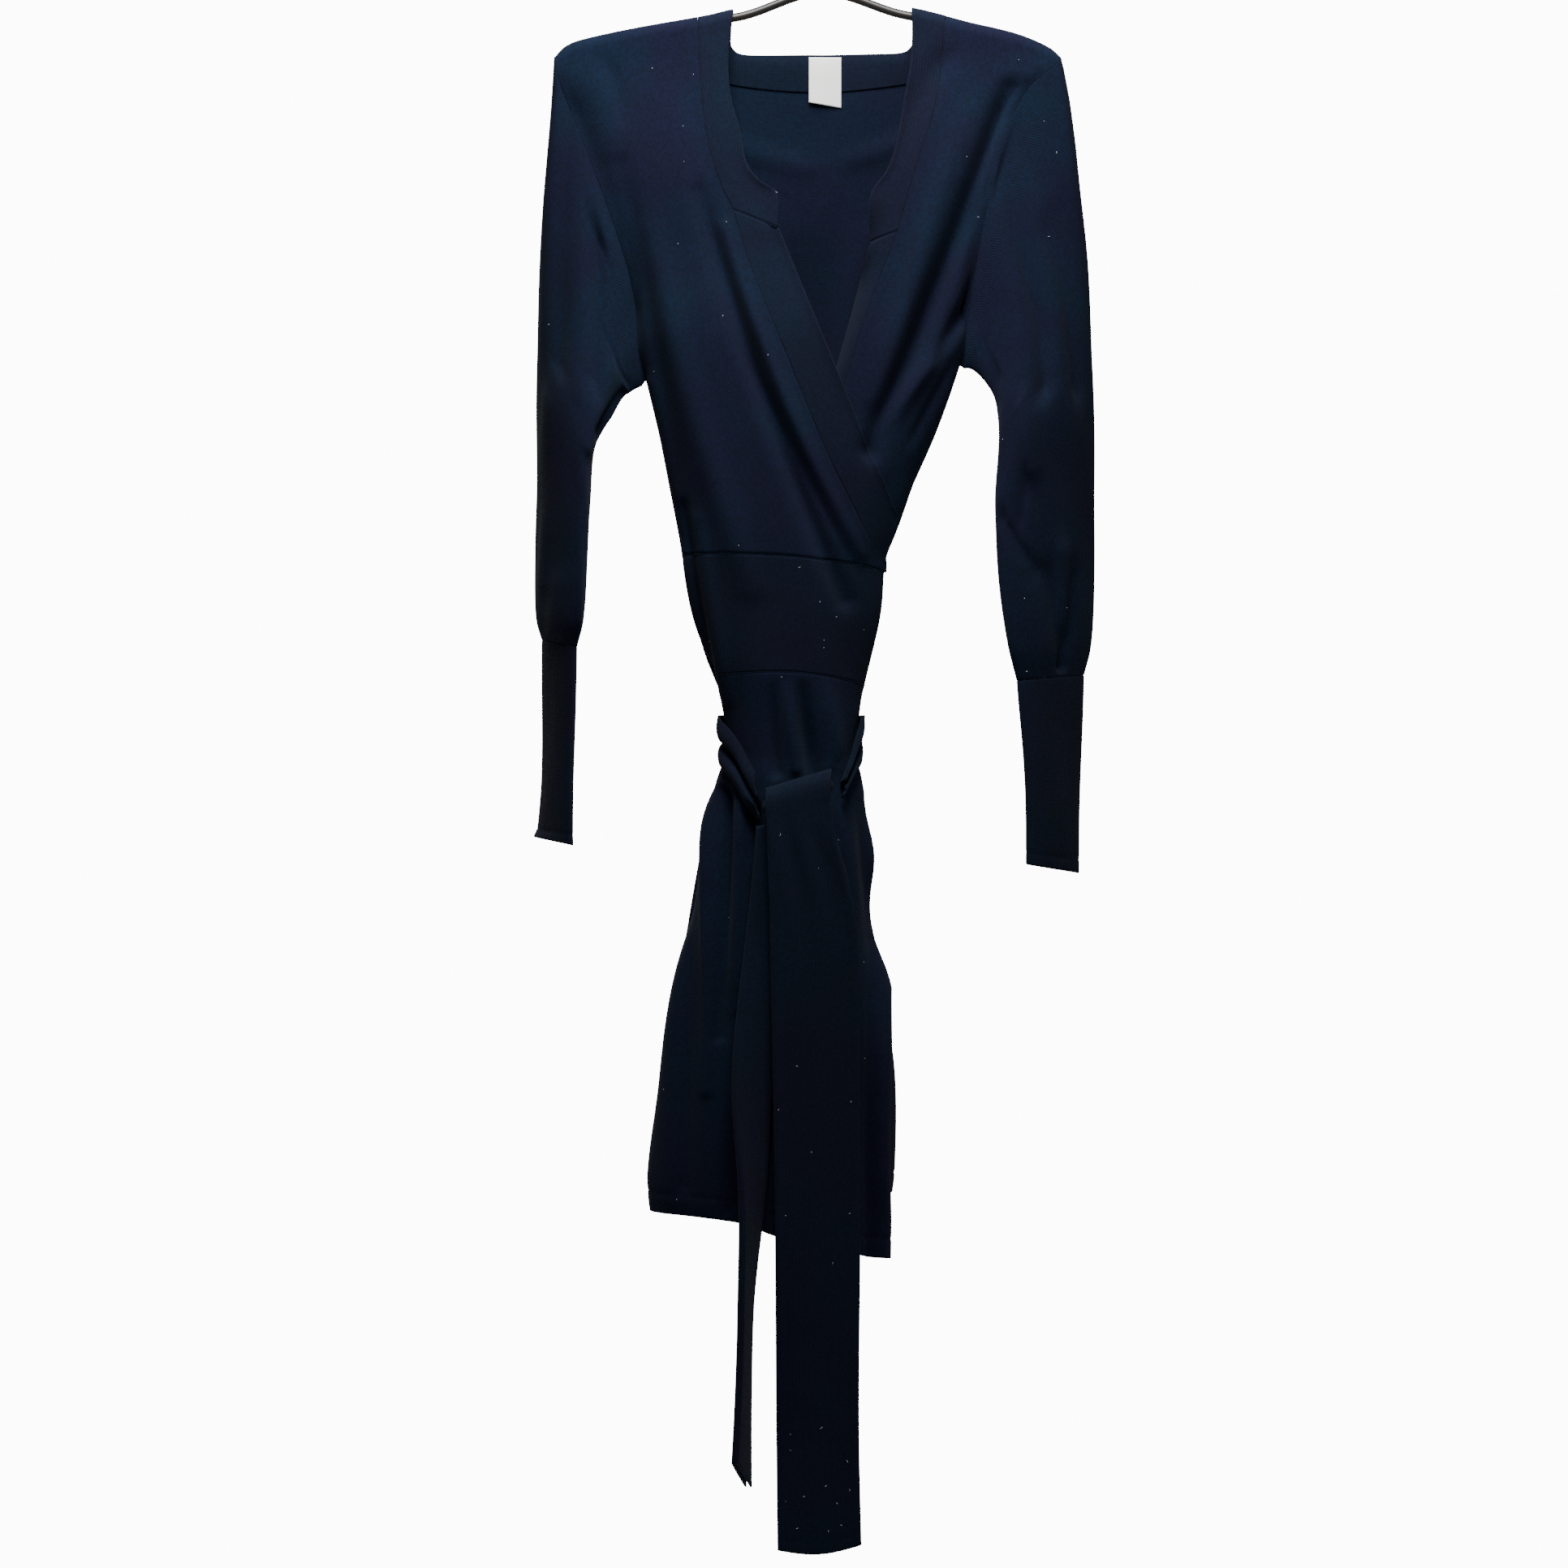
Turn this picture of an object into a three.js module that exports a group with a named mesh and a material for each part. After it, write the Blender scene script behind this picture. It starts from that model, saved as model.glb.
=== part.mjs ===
// A knitted long-sleeved wrap dress with its tie belt, hanging on a slim hanger.
// Millimetres, +Z up. The wearer's front faces -Y and left means -X. The dress is laid out from
// the neck points of its shoulders downward, and the whole group is then lowered so that the
// origin is the inside top of the hanger's hook.
import * as THREE from 'three';

// Driving dimensions: drop of the neck points below the hook, thicknesses, and gaps between layers
const HOOK_TO_NECK = 96;
const CLOTH = 1.6;
const DOUBLED = 2.2;
const SEAM = 0.3;
const NECK_GAP = 0.8;
const LABEL_GAP = 0.5;
const OVER_AIR = 4.6;
const OVER_LIFT = CLOTH + OVER_AIR;
const BELT_AIR = 3;

// The cloth arches over the shoulder within this fall, and folds start fading below WELL_BELOW.
const SHOULDER_ARCH = 9;
const FIRST_ROW = 2;
const SHOULDER_FADE = 30;
const WELL_BELOW = 72;
// Share of a panel's width, beside its side seams, over which folds fade
const SEAM_FADE = 0.06;
// The over-front leaves the under-front between these drops, and beside the side seam within
// this share of the width.
const OVER_LEAVES = { from: 170, full: 250, across: 0.14 };
// The widest that an armhole opens, as a share of the body's depth there
const MOST_OPEN = 0.95;
// How soon the back's middle columns spread out to the body's width below the neck
const BACK_SPREAD = 0.8;
// Step for slopes, and rounds of the search for a seam's height
const STEP = 1e-3;
const SEARCH_ROUNDS = 6;

const FINISH = {
  navy: { color: 0x0b1226, roughness: 0.92, metalness: 0 },
  deep: { color: 0x080d1c, roughness: 0.92, metalness: 0 },
  white: { color: 0xf4f4f2, roughness: 0.6, metalness: 0 },
  dark: { color: 0x17130f, roughness: 0.45, metalness: 0 },
  steel: { color: 0xb9bcc0, roughness: 0.25, metalness: 1 },
};
const [NAVY, DEEP, WHITE, DARK, STEEL] = ['navy', 'deep', 'white', 'dark', 'steel']
  .map((name) => new THREE.MeshStandardMaterial(FINISH[name]));

// Columns and rows of each wall's grid
const GRID = {
  back: [26, 13], over: [17, 15], under: [17, 15], neckSide: [2, 9], neckBack: [17, 2],
  wrap: [3, 13], sleeve: [12, 12], cuff: [8, 3], waistBack: [26, 2], waistOver: [18, 2],
  waistUnder: [10, 2], skirtBack: [26, 10], skirtOver: [22, 11], skirtUnder: [10, 8],
  beltBack: [26, 2], beltFront: [8, 4], tail: [4, 12], foldedTail: [8, 14], label: [3, 3],
};
const UNDERARM_ROW = 9;
const SKIRT_ROWS = 1.3;

// The body's level rings: the side seams' x, and how far front and back stand from the
// hanger's plane. Above the underarm, left and right follow the armhole seams.
const RINGS = [
  { drop: 0, left: -198, right: 177, front: 9, back: 9 },
  { drop: 38, left: -198, right: 177, front: 9, back: 9 },
  { drop: 62, left: -192, right: 152, front: 11, back: 12 },
  { drop: 100, left: -177, right: 134, front: 15, back: 17 },
  { drop: 145, left: -160, right: 123, front: 19, back: 22 },
  { drop: 196, left: -145, right: 115, front: 25, back: 28 },
  { drop: 244, left: -138, right: 108, front: 31, back: 33 },
  { drop: 281, left: -129, right: 97, front: 34, back: 36 },
  { drop: 319, left: -120, right: 83, front: 36, back: 38 },
  { drop: 355, left: -113, right: 67, front: 37, back: 39 },
  { drop: 391, left: -106, right: 52, front: 38, back: 40 },
  { drop: 409, left: -103, right: 45, front: 38, back: 41 },
  { drop: 445, left: -96, right: 38.5, front: 37, back: 40 },
  { drop: 481, left: -86, right: 30.5, front: 36, back: 38 },
  { drop: 517, left: -72.5, right: 24, front: 35, back: 37 },
  { drop: 553, left: -69, right: 20.5, front: 35, back: 37 },
  { drop: 571, left: -73.5, right: 24, front: 37, back: 39 },
  { drop: 625, left: -86.5, right: 34.5, front: 40, back: 43 },
  { drop: 679, left: -96.5, right: 35, front: 42, back: 46 },
  { drop: 733, left: -108, right: 45.5, front: 44, back: 49 },
  { drop: 787, left: -117, right: 54, front: 46, back: 51 },
  { drop: 859, left: -127, right: 54, front: 48, back: 53 },
  { drop: 892, left: -125, right: 50, front: 48, back: 53 },
  { drop: 932, left: -122, right: 47, front: 48, back: 53 },
];

// Height of the shoulder line below the neck points
const SHOULDER = [
  { x: -198, drop: 38 }, { x: -190, drop: 30 }, { x: -179, drop: 25 }, { x: -139, drop: 16 },
  { x: -83, drop: 6 }, { x: -66, drop: 2 }, { x: 0, drop: -8 }, { x: 70, drop: 1.5 },
  { x: 107, drop: 11 }, { x: 143, drop: 20 }, { x: 166, drop: 30 }, { x: 177, drop: 38 },
];

// Armholes from the shoulder's tip to the underarm
const ARMHOLE = {
  left: { tip: 38, under: 277, waist: 406, tipOpen: 9, midOpen: 40 },
  right: { tip: 38, under: 266, waist: 423, tipOpen: 9, midOpen: 40 },
};

// Slanted lines of the wrap: the seam between front and band, and the band's free edge
const OVER_SEAM = [
  { drop: 0, x: -92 }, { drop: 53, x: -90 }, { drop: 103, x: -84 }, { drop: 137, x: -73.5 },
  { drop: 152, x: -66 }, { drop: 193, x: -53 }, { drop: 260, x: -26 }, { drop: 332, x: 3 },
  { drop: 403, x: 35 }, { drop: 422, x: 40 },
];
const OVER_EDGE = [
  { drop: 165, x: -32 }, { drop: 272, x: 11 }, { drop: 330, x: 34 }, { drop: 358, x: 45 },
  { drop: 390, x: 54 }, { drop: 422, x: 58 },
];
const UNDER_SEAM = [
  { drop: 0, x: 92 }, { drop: 68, x: 85 }, { drop: 119, x: 70 }, { drop: 169, x: 55 },
  { drop: 214, x: 38 }, { drop: 247, x: 27 }, { drop: 277, x: 18 }, { drop: 330, x: 0 },
  { drop: 422, x: -28 },
];
const UNDER_EDGE = [
  { drop: 175, x: 36 }, { drop: 268, x: 10 }, { drop: 330, x: -12 }, { drop: 385, x: -36 },
  { drop: 422, x: -52 },
];

// Inner edges of the neck band beside the neck, and its lower seams
const NECK_EDGE_LEFT = [
  { drop: 0, x: -65.5 }, { drop: 41, x: -69 }, { drop: 68, x: -67 }, { drop: 91, x: -61 },
  { drop: 118, x: -55 }, { drop: 131, x: -45 }, { drop: 138, x: -34 }, { drop: 168, x: -33 },
];
const NECK_EDGE_RIGHT = [
  { drop: 0, x: 66.5 }, { drop: 37, x: 66 }, { drop: 68, x: 61 }, { drop: 106, x: 54 },
  { drop: 124, x: 47 }, { drop: 140, x: 36 }, { drop: 178, x: 35 },
];
const NECK_END = { left: [152, 166], right: [168, 176] };

// The neck band behind the neck: its seam and its edge, by place along the band
const NECK_BACK = [
  { along: 0, seamX: -92, seamFall: 0, edgeX: -65.5, edgeFall: 0 },
  { along: 0.1, seamX: -91.5, seamFall: 19, edgeX: -67, edgeFall: 14 },
  { along: 0.22, seamX: -85, seamFall: 40, edgeX: -66, edgeFall: 28 },
  { along: 0.36, seamX: -64, seamFall: 56, edgeX: -51, edgeFall: 36 },
  { along: 0.5, seamX: 0, seamFall: 71, edgeX: 0, edgeFall: 43 },
  { along: 0.64, seamX: 64, seamFall: 56, edgeX: 51, edgeFall: 36 },
  { along: 0.78, seamX: 85, seamFall: 40, edgeX: 66, edgeFall: 28 },
  { along: 0.9, seamX: 91.5, seamFall: 19, edgeX: 67, edgeFall: 14 },
  { along: 1, seamX: 92, seamFall: 0, edgeX: 66.5, edgeFall: 0 },
];
const BACK_SHOULDERS = { left: 7 / 26, right: 6 / 26 };
const NECK_ARCH = [0.011, 0.048];

// Level seams and hems, by place across from the left side seam to the right one
const WAIST_TOP = [
  { across: 0, drop: 406 }, { across: 0.45, drop: 407 }, { across: 0.75, drop: 414 },
  { across: 1, drop: 423 },
];
const WAIST_BOTTOM = [
  { across: 0, drop: 498 }, { across: 0.35, drop: 493 }, { across: 0.55, drop: 493 },
  { across: 0.8, drop: 499 }, { across: 1, drop: 503 },
];
const OVER_HEM = [
  { across: 0, drop: 888 }, { across: 0.4, drop: 895 }, { across: 0.53, drop: 907 },
  { across: 0.8, drop: 922 }, { across: 1, drop: 925 },
];
const INNER_HEM = [
  { across: 0, drop: 888 }, { across: 0.5, drop: 880 }, { across: 1, drop: 876 },
];

// How far round the ring the over-front reaches, at the wrap's corner and below the waistband,
// and the free edge of its skirt
const FREE_SIDE = { corner: 0.88, skirt: 0.94, from: 380, to: 500 };
const SKIRT_EDGE = [
  { drop: 500, x: 60 }, { drop: 650, x: 52 }, { drop: 715, x: 43 }, { drop: 790, x: 45 },
  { drop: 932, x: 43 },
];
// The under-front's band curls in between these drops.
const UNDER_CURL = { out: 12, from: 178, full: 215, fade: 250, end: 285 };
const UNDER_WAIST_X = -58;
const UNDER_HEM_X = -48;

// Folds as soft lines on the body: three places that the line runs through, its half width and
// how far it stands out there (less than 0 is a trough). Front and back lists.
const FRONT_FOLDS = [
  { x: [-86, -50, 16], drop: [146, 268, 452], wide: 9, out: [-2, -5, -3] },
  { x: [-70, -34, 22], drop: [170, 275, 400], wide: 7, out: [1, 3, 1] },
  { x: [-150, -112, -92], drop: [90, 230, 400], wide: 20, out: [1, 3, 1] },
  { x: [149, 92, 32], drop: [62, 190, 318], wide: 9, out: [-2, -7, -5] },
  { x: [112, 66, 36], drop: [229, 282, 330], wide: 7, out: [2, 4, 2] },
  { x: [104, 92, 79], drop: [226, 250, 268], wide: 6, out: [-2, -4, -1] },
  { x: [100, 74, 58], drop: [32, 64, 120], wide: 10, out: [-1, -3, 0] },
  { x: [-98, -80, -72], drop: [380, 470, 512], wide: 6, out: [-1, -3, -2] },
  { x: [-18, -12, -8], drop: [500, 530, 566], wide: 6, out: [-1, -4, -4] },
  { x: [-36, -35, -34], drop: [524, 548, 566], wide: 5, out: [-2, -3, -3] },
  { x: [-72, -78, -80], drop: [576, 625, 715], wide: 5, out: [2, 3, 0] },
  { x: [-67, -66, -72], drop: [580, 620, 700], wide: 5, out: [-4, -4, -1] },
  { x: [-58, -47, -42], drop: [595, 640, 760], wide: 6, out: [-4, -4, 0] },
  { x: [-96, -104, -110], drop: [640, 740, 880], wide: 14, out: [1, 3, 3] },
  { x: [42, 41, 40], drop: [690, 790, 925], wide: 6, out: [1, 3, 3] },
];
const BACK_FOLDS = [
  { x: [-140, -110, -66], drop: [120, 280, 520], wide: 13, out: [0, -6, -6] },
  { x: [-96, -78, -50], drop: [150, 300, 525], wide: 13, out: [1, 6, 5] },
  { x: [-58, -50, -34], drop: [170, 320, 525], wide: 12, out: [-1, -7, -6] },
  { x: [-18, -22, -20], drop: [180, 330, 525], wide: 12, out: [1, 6, 5] },
  { x: [30, 8, -6], drop: [170, 330, 525], wide: 12, out: [-1, -7, -6] },
  { x: [74, 36, 8], drop: [150, 310, 525], wide: 11, out: [1, 6, 4] },
  { x: [110, 66, 21], drop: [120, 290, 520], wide: 11, out: [0, -6, -4] },
  { x: [-64, -84, -98], drop: [560, 690, 885], wide: 13, out: [5, 8, 8] },
  { x: [-50, -62, -72], drop: [560, 690, 885], wide: 11, out: [-5, -8, -8] },
  { x: [-34, -40, -44], drop: [560, 690, 885], wide: 12, out: [4, 8, 9] },
  { x: [-18, -18, -18], drop: [560, 690, 885], wide: 11, out: [-5, -8, -8] },
  { x: [-4, 2, 6], drop: [560, 690, 885], wide: 11, out: [4, 7, 8] },
  { x: [12, 24, 32], drop: [560, 690, 885], wide: 10, out: [-4, -7, -7] },
];
const FOLD_PIECES = 10;

// Sleeves, from the armhole to the cuff, as flattened rings. The outer and inner ends of each
// ring are seen from the front; deep is half its depth, turn is how far its outer end swings
// back and keep is the share of the armhole's own shape that it still has.
const LEFT_SLEEVE = [
  { at: 0, outX: -198, outDrop: 38, inX: -131, inDrop: 277, deep: 16, turn: 0, keep: 1 },
  { at: 0.1, outX: -201, outDrop: 82, inX: -140, inDrop: 281, deep: 19, turn: 3, keep: 0.75 },
  { at: 0.2, outX: -206, outDrop: 137, inX: -147, inDrop: 288, deep: 22, turn: 8, keep: 0.5 },
  { at: 0.3, outX: -209, outDrop: 187, inX: -155, inDrop: 301, deep: 25, turn: 14, keep: 0.3 },
  { at: 0.4, outX: -211, outDrop: 237, inX: -162, inDrop: 313, deep: 28, turn: 20, keep: 0.1 },
  { at: 0.5, outX: -212, outDrop: 285, inX: -168, inDrop: 331, deep: 29, turn: 25, keep: 0 },
  { at: 0.64, outX: -212, outDrop: 342, inX: -170, inDrop: 366, deep: 30, turn: 30, keep: 0 },
  { at: 0.78, outX: -213, outDrop: 396, inX: -172, inDrop: 404, deep: 29, turn: 32, keep: 0 },
  { at: 0.92, outX: -213, outDrop: 449, inX: -175, inDrop: 454, deep: 27, turn: 31, keep: 0 },
  { at: 1, outX: -208, outDrop: 468, inX: -180, inDrop: 474, deep: 20, turn: 25, keep: 0 },
];
const RIGHT_SLEEVE = [
  { at: 0, outX: 177, outDrop: 38, inX: 103, inDrop: 266, deep: 16, turn: 0, keep: 1 },
  { at: 0.1, outX: 186, outDrop: 88, inX: 112, inDrop: 266, deep: 18, turn: 3, keep: 0.75 },
  { at: 0.2, outX: 192, outDrop: 139, inX: 121, inDrop: 275, deep: 19, turn: 7, keep: 0.5 },
  { at: 0.3, outX: 197, outDrop: 187, inX: 129, inDrop: 288, deep: 20, turn: 12, keep: 0.3 },
  { at: 0.4, outX: 200, outDrop: 238, inX: 131, inDrop: 306, deep: 21, turn: 17, keep: 0.1 },
  { at: 0.5, outX: 202, outDrop: 289, inX: 130, inDrop: 330, deep: 21, turn: 21, keep: 0 },
  { at: 0.64, outX: 203, outDrop: 350, inX: 127, inDrop: 370, deep: 20, turn: 26, keep: 0 },
  { at: 0.78, outX: 203, outDrop: 412, inX: 129, inDrop: 418, deep: 19, turn: 30, keep: 0 },
  { at: 0.92, outX: 201, outDrop: 470, inX: 136, inDrop: 472, deep: 18, turn: 29, keep: 0 },
  { at: 1, outX: 195, outDrop: 494, inX: 143, inDrop: 499, deep: 14, turn: 24, keep: 0 },
];
const LEFT_CUFF = [
  { at: 0, outX: -208, outDrop: 468.4, inX: -180, inDrop: 474.4, deep: 20, turn: 25 },
  { at: 0.5, outX: -208, outDrop: 553, inX: -182, inDrop: 553, deep: 18, turn: 24 },
  { at: 0.9, outX: -211, outDrop: 605, inX: -183, inDrop: 609, deep: 18, turn: 24 },
  { at: 1, outX: -214, outDrop: 614, inX: -183, inDrop: 620, deep: 18, turn: 24 },
];
const RIGHT_CUFF = [
  { at: 0, outX: 195, outDrop: 494.4, inX: 143, inDrop: 499.4, deep: 14, turn: 24 },
  { at: 0.4, outX: 193, outDrop: 553, inX: 148, inDrop: 556, deep: 13, turn: 24 },
  { at: 1, outX: 191, outDrop: 641, inX: 150, inDrop: 634, deep: 13, turn: 23 },
];

// Folds on a sleeve: place round the ring (0 outer, 0.25 front, 0.5 inner), place along it,
// half widths both ways, and how far it stands out
const LEFT_SLEEVE_FOLDS = [
  { round: [0.1, 0.2], along: [0.05, 0.4], wide: 0.05, out: -3 },
  { round: [0.36, 0.4], along: [0.22, 0.5], wide: 0.04, out: 4 },
  { round: [0.47, 0.45], along: [0.2, 0.42], wide: 0.035, out: -4 },
  { round: [0.8, 0.72], along: [0.1, 0.6], wide: 0.05, out: -4 },
  { round: [0.25, 0.25], along: [0.86, 0.97], wide: 0.06, out: 2 },
];
const RIGHT_SLEEVE_FOLDS = [
  { round: [0.05, 0.055], along: [0.03, 0.2], wide: 0.016, out: 3 },
  { round: [0.09, 0.11], along: [0.03, 0.28], wide: 0.018, out: -5 },
  { round: [0.13, 0.16], along: [0.03, 0.22], wide: 0.018, out: 4 },
  { round: [0.18, 0.21], along: [0.03, 0.2], wide: 0.02, out: -3 },
  { round: [0.94, 0.93], along: [0.03, 0.22], wide: 0.018, out: -4 },
  { round: [0.89, 0.87], along: [0.03, 0.2], wide: 0.018, out: 3 },
  { round: [0.17, 0.14], along: [0.3, 0.62], wide: 0.045, out: -5 },
  { round: [0.38, 0.4], along: [0.3, 0.55], wide: 0.04, out: 4 },
  { round: [0.42, 0.3], along: [0.62, 0.74], wide: 0.035, out: -4 },
  { round: [0.14, 0.2], along: [0.86, 0.97], wide: 0.04, out: -4 },
  { round: [0.3, 0.24], along: [0.84, 0.97], wide: 0.04, out: 3 },
  { round: [0.74, 0.66], along: [0.2, 0.8], wide: 0.05, out: -4 },
];

// Shares of a sleeve's length over which its folds fade at the armhole, at the cuff and past
// their own ends, and how close its columns stand at the top, where the gathers are
const SLEEVE_FADE = { armhole: 0.04, cuff: 0.03, ends: 0.03 };
const CROWDING = 0.45;

// Tie belt. Its stretches: upper and lower edge by place across the front from the side seam.
const BELT_BACK = { top: 524, bottom: 557 };
const BELT_LEFT = [
  { x: -69, top: 524, bottom: 557 }, { x: -58, top: 538, bottom: 577 },
  { x: -51, top: 551, bottom: 594 }, { x: -45, top: 566, bottom: 606 },
];
const BELT_RIGHT = [
  { x: 9.5, top: 562, bottom: 586 }, { x: 15, top: 541, bottom: 570 },
  { x: 20.5, top: 524, bottom: 557 },
];
const BELT_CREASE = { out: -1, wide: 0.2 };
const KNOT = { x: -18, y: -53.8, drop: 584, halfWide: 26, halfDeep: 9.5, halfTall: 11, slope: 0.3 };
// How square the knot's section is, its facets round and down, and how far the tail tucks under
const KNOT_SHAPE = { square: 0.75, around: 20, down: 12, tuck: 2.6 };
const MAIN_TAIL = [
  { drop: 580, left: -42, right: 6, y: -60 }, { drop: 610, left: -41, right: 10, y: -64.5 },
  { drop: 640, left: -40, right: 18, y: -66 }, { drop: 668, left: -39, right: 24, y: -66 },
  { drop: 720, left: -38, right: 27, y: -66 }, { drop: 890, left: -35, right: 28, y: -65 },
  { drop: 1040, left: -34, right: 27, y: -63 }, { drop: 1139, left: -33, right: 29, y: -62 },
];
const MAIN_TAIL_END = { drop: 1134, sag: 5, slant: -4 };
// The second tail is folded lengthwise. Its free edges' place, and the turn of its two leaves
// from facing the front to edge-on, in degrees.
const SECOND_TAIL = [
  { drop: 596, x: -14, y: -51, turn: 2 }, { drop: 640, x: -17, y: -53.5, turn: 4 },
  { drop: 700, x: -24, y: -54.5, turn: 8 }, { drop: 790, x: -37, y: -55.5, turn: 32 },
  { drop: 870, x: -43, y: -57, turn: 60 }, { drop: 950, x: -52, y: -57, turn: 77 },
  { drop: 1020, x: -54, y: -58, turn: 77 }, { drop: 1090, x: -54, y: -59, turn: 70 },
];
const SECOND_TAIL_END = { leaf: 31, open: 2.5, drop: 1068, slant: 20 };
// Share of the second tail's columns on each leaf; the rest go round its lengthwise fold
const LEAF_SHARE = 0.25;

const LABEL = { left: -9.6, right: 14.4, top: 37, bottom: [70, 74], thick: 0.9 };

// Hanger: a plain round bar that lies under the shoulders and rises between the neck points,
// and a wire hook
const BAR = {
  radius: 3.2, under: 3.4, rise: 9, neck: 62, leftTip: -182, rightTip: 157, steps: 28, sides: 10,
};
const HOOK = { wire: 2, radius: 22, stem: 21, start: -50, end: 205, every: 15, steps: 40, sides: 8 };

function smooth(from, to, at) {
  const t = Math.min(Math.max((at - from) / (to - from), 0), 1);
  return t * t * (3 - 2 * t);
}

// A column's value where the key column has the given value, on a smooth curve through the rows.
function lookUp(rows, key, column, at) {
  const last = rows.length - 1;
  if (at <= rows[0][key]) return rows[0][column];
  if (at >= rows[last][key]) return rows[last][column];
  let i = 0;
  while (rows[i + 1][key] < at) i += 1;
  const span = rows[i + 1][key] - rows[i][key];
  const slope = (j) => {
    const a = rows[Math.max(j - 1, 0)];
    const b = rows[Math.min(j + 1, last)];
    return (span * (b[column] - a[column])) / (b[key] - a[key]);
  };
  const t = (at - rows[i][key]) / span;
  const rise = rows[i + 1][column] - rows[i][column];
  const bend = slope(i) * (1 - t) - slope(i + 1) * t + rise * (2 * t - 1);
  return rows[i][column] + rise * t + t * (1 - t) * bend;
}

const shoulderDrop = (x) => lookUp(SHOULDER, 'x', 'drop', x);

// Half the gap between the front and back edges of an armhole at one height.
function armholeOpen(hole, drop) {
  const h = (drop - hole.tip) / (hole.under - hole.tip);
  if (h >= 1) return 0;
  if (h <= 0) return hole.tipOpen;
  return hole.tipOpen * Math.sqrt(1 - h) + hole.midOpen * h * (1 - h);
}

// The level ring at one height: its ends, its depth and the angles at which it starts and ends.
function ringAt(side, drop) {
  const deep = lookUp(RINGS, 'drop', side < 0 ? 'front' : 'back', drop);
  const angle = (hole) => Math.asin(Math.min(armholeOpen(hole, drop) / deep, MOST_OPEN));
  return {
    deep,
    left: lookUp(RINGS, 'drop', 'left', drop),
    right: lookUp(RINGS, 'drop', 'right', drop),
    start: angle(ARMHOLE.left),
    end: Math.PI - angle(ARMHOLE.right),
  };
}

function ringX(ring, angle) {
  const share = (Math.cos(ring.start) - Math.cos(angle)) / (Math.cos(ring.start) - Math.cos(ring.end));
  return ring.left + (ring.right - ring.left) * share;
}

// The x at a place across the ring, and the place across the ring that has the given x.
function xAt(side, across, drop) {
  const ring = ringAt(side, drop);
  return ringX(ring, ring.start + (ring.end - ring.start) * across);
}

function acrossAt(side, x, drop) {
  const ring = ringAt(side, drop);
  const share = Math.min(Math.max((x - ring.left) / (ring.right - ring.left), 0), 1);
  const start = Math.cos(ring.start);
  const angle = Math.acos(start - share * (start - Math.cos(ring.end)));
  return (angle - ring.start) / (ring.end - ring.start);
}

const through = (three, t) =>
  three[0] * (1 - t) * (1 - 2 * t) + 4 * three[1] * t * (1 - t) + three[2] * t * (2 * t - 1);

// How far the folds push the cloth out at one place.
function foldOut(folds, x, drop) {
  let out = 0;
  for (const fold of folds) {
    let near = Infinity;
    let place = 0;
    for (let i = 0; i < FOLD_PIECES; i += 1) {
      const x0 = through(fold.x, i / FOLD_PIECES);
      const d0 = through(fold.drop, i / FOLD_PIECES);
      const ux = through(fold.x, (i + 1) / FOLD_PIECES) - x0;
      const ud = through(fold.drop, (i + 1) / FOLD_PIECES) - d0;
      const t = Math.min(Math.max(((x - x0) * ux + (drop - d0) * ud) / (ux * ux + ud * ud), 0), 1);
      const gap = Math.hypot(x - x0 - ux * t, drop - d0 - ud * t);
      if (gap < near) {
        near = gap;
        place = (i + t) / FOLD_PIECES;
      }
    }
    out += through(fold.out, place) * Math.exp(-((near / fold.wide) ** 2));
  }
  return out;
}

// A point of the body's cloth. side is -1 for the front and 1 for the back; across runs from the
// left side seam to the right one; fall is the height below the shoulder seam, and lift is how
// far the point lies outside the bottom layer.
function bodyPoint(side, across, drop, fall, lift) {
  const ring = ringAt(side, drop);
  const angle = ring.start + (ring.end - ring.start) * across;
  const x = ringX(ring, angle);
  const arch = fall >= SHOULDER_ARCH ? 1 : Math.sqrt(1 - (1 - Math.max(fall, 0) / SHOULDER_ARCH) ** 2);
  const wide = (ring.right - ring.left) / (Math.cos(ring.start) - Math.cos(ring.end));
  const outward = new THREE.Vector2(-ring.deep * Math.cos(angle), side * wide * Math.sin(angle));
  outward.normalize();
  const seams = smooth(0, SEAM_FADE, across) * smooth(0, SEAM_FADE, 1 - across);
  const folds = foldOut(side < 0 ? FRONT_FOLDS : BACK_FOLDS, x, drop) * seams;
  const push = lift + folds * smooth(0, SHOULDER_FADE, fall);
  return new THREE.Vector3(
    x + outward.x * push,
    side * ring.deep * Math.sin(angle) * arch + outward.y * push,
    -drop,
  );
}

// Lift of the over-front: none at its side seam and above the crossing.
function overLift(across, drop) {
  const away = smooth(OVER_LEAVES.from, OVER_LEAVES.full, drop);
  return OVER_LIFT * away * smooth(0, OVER_LEAVES.across, across);
}

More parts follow.
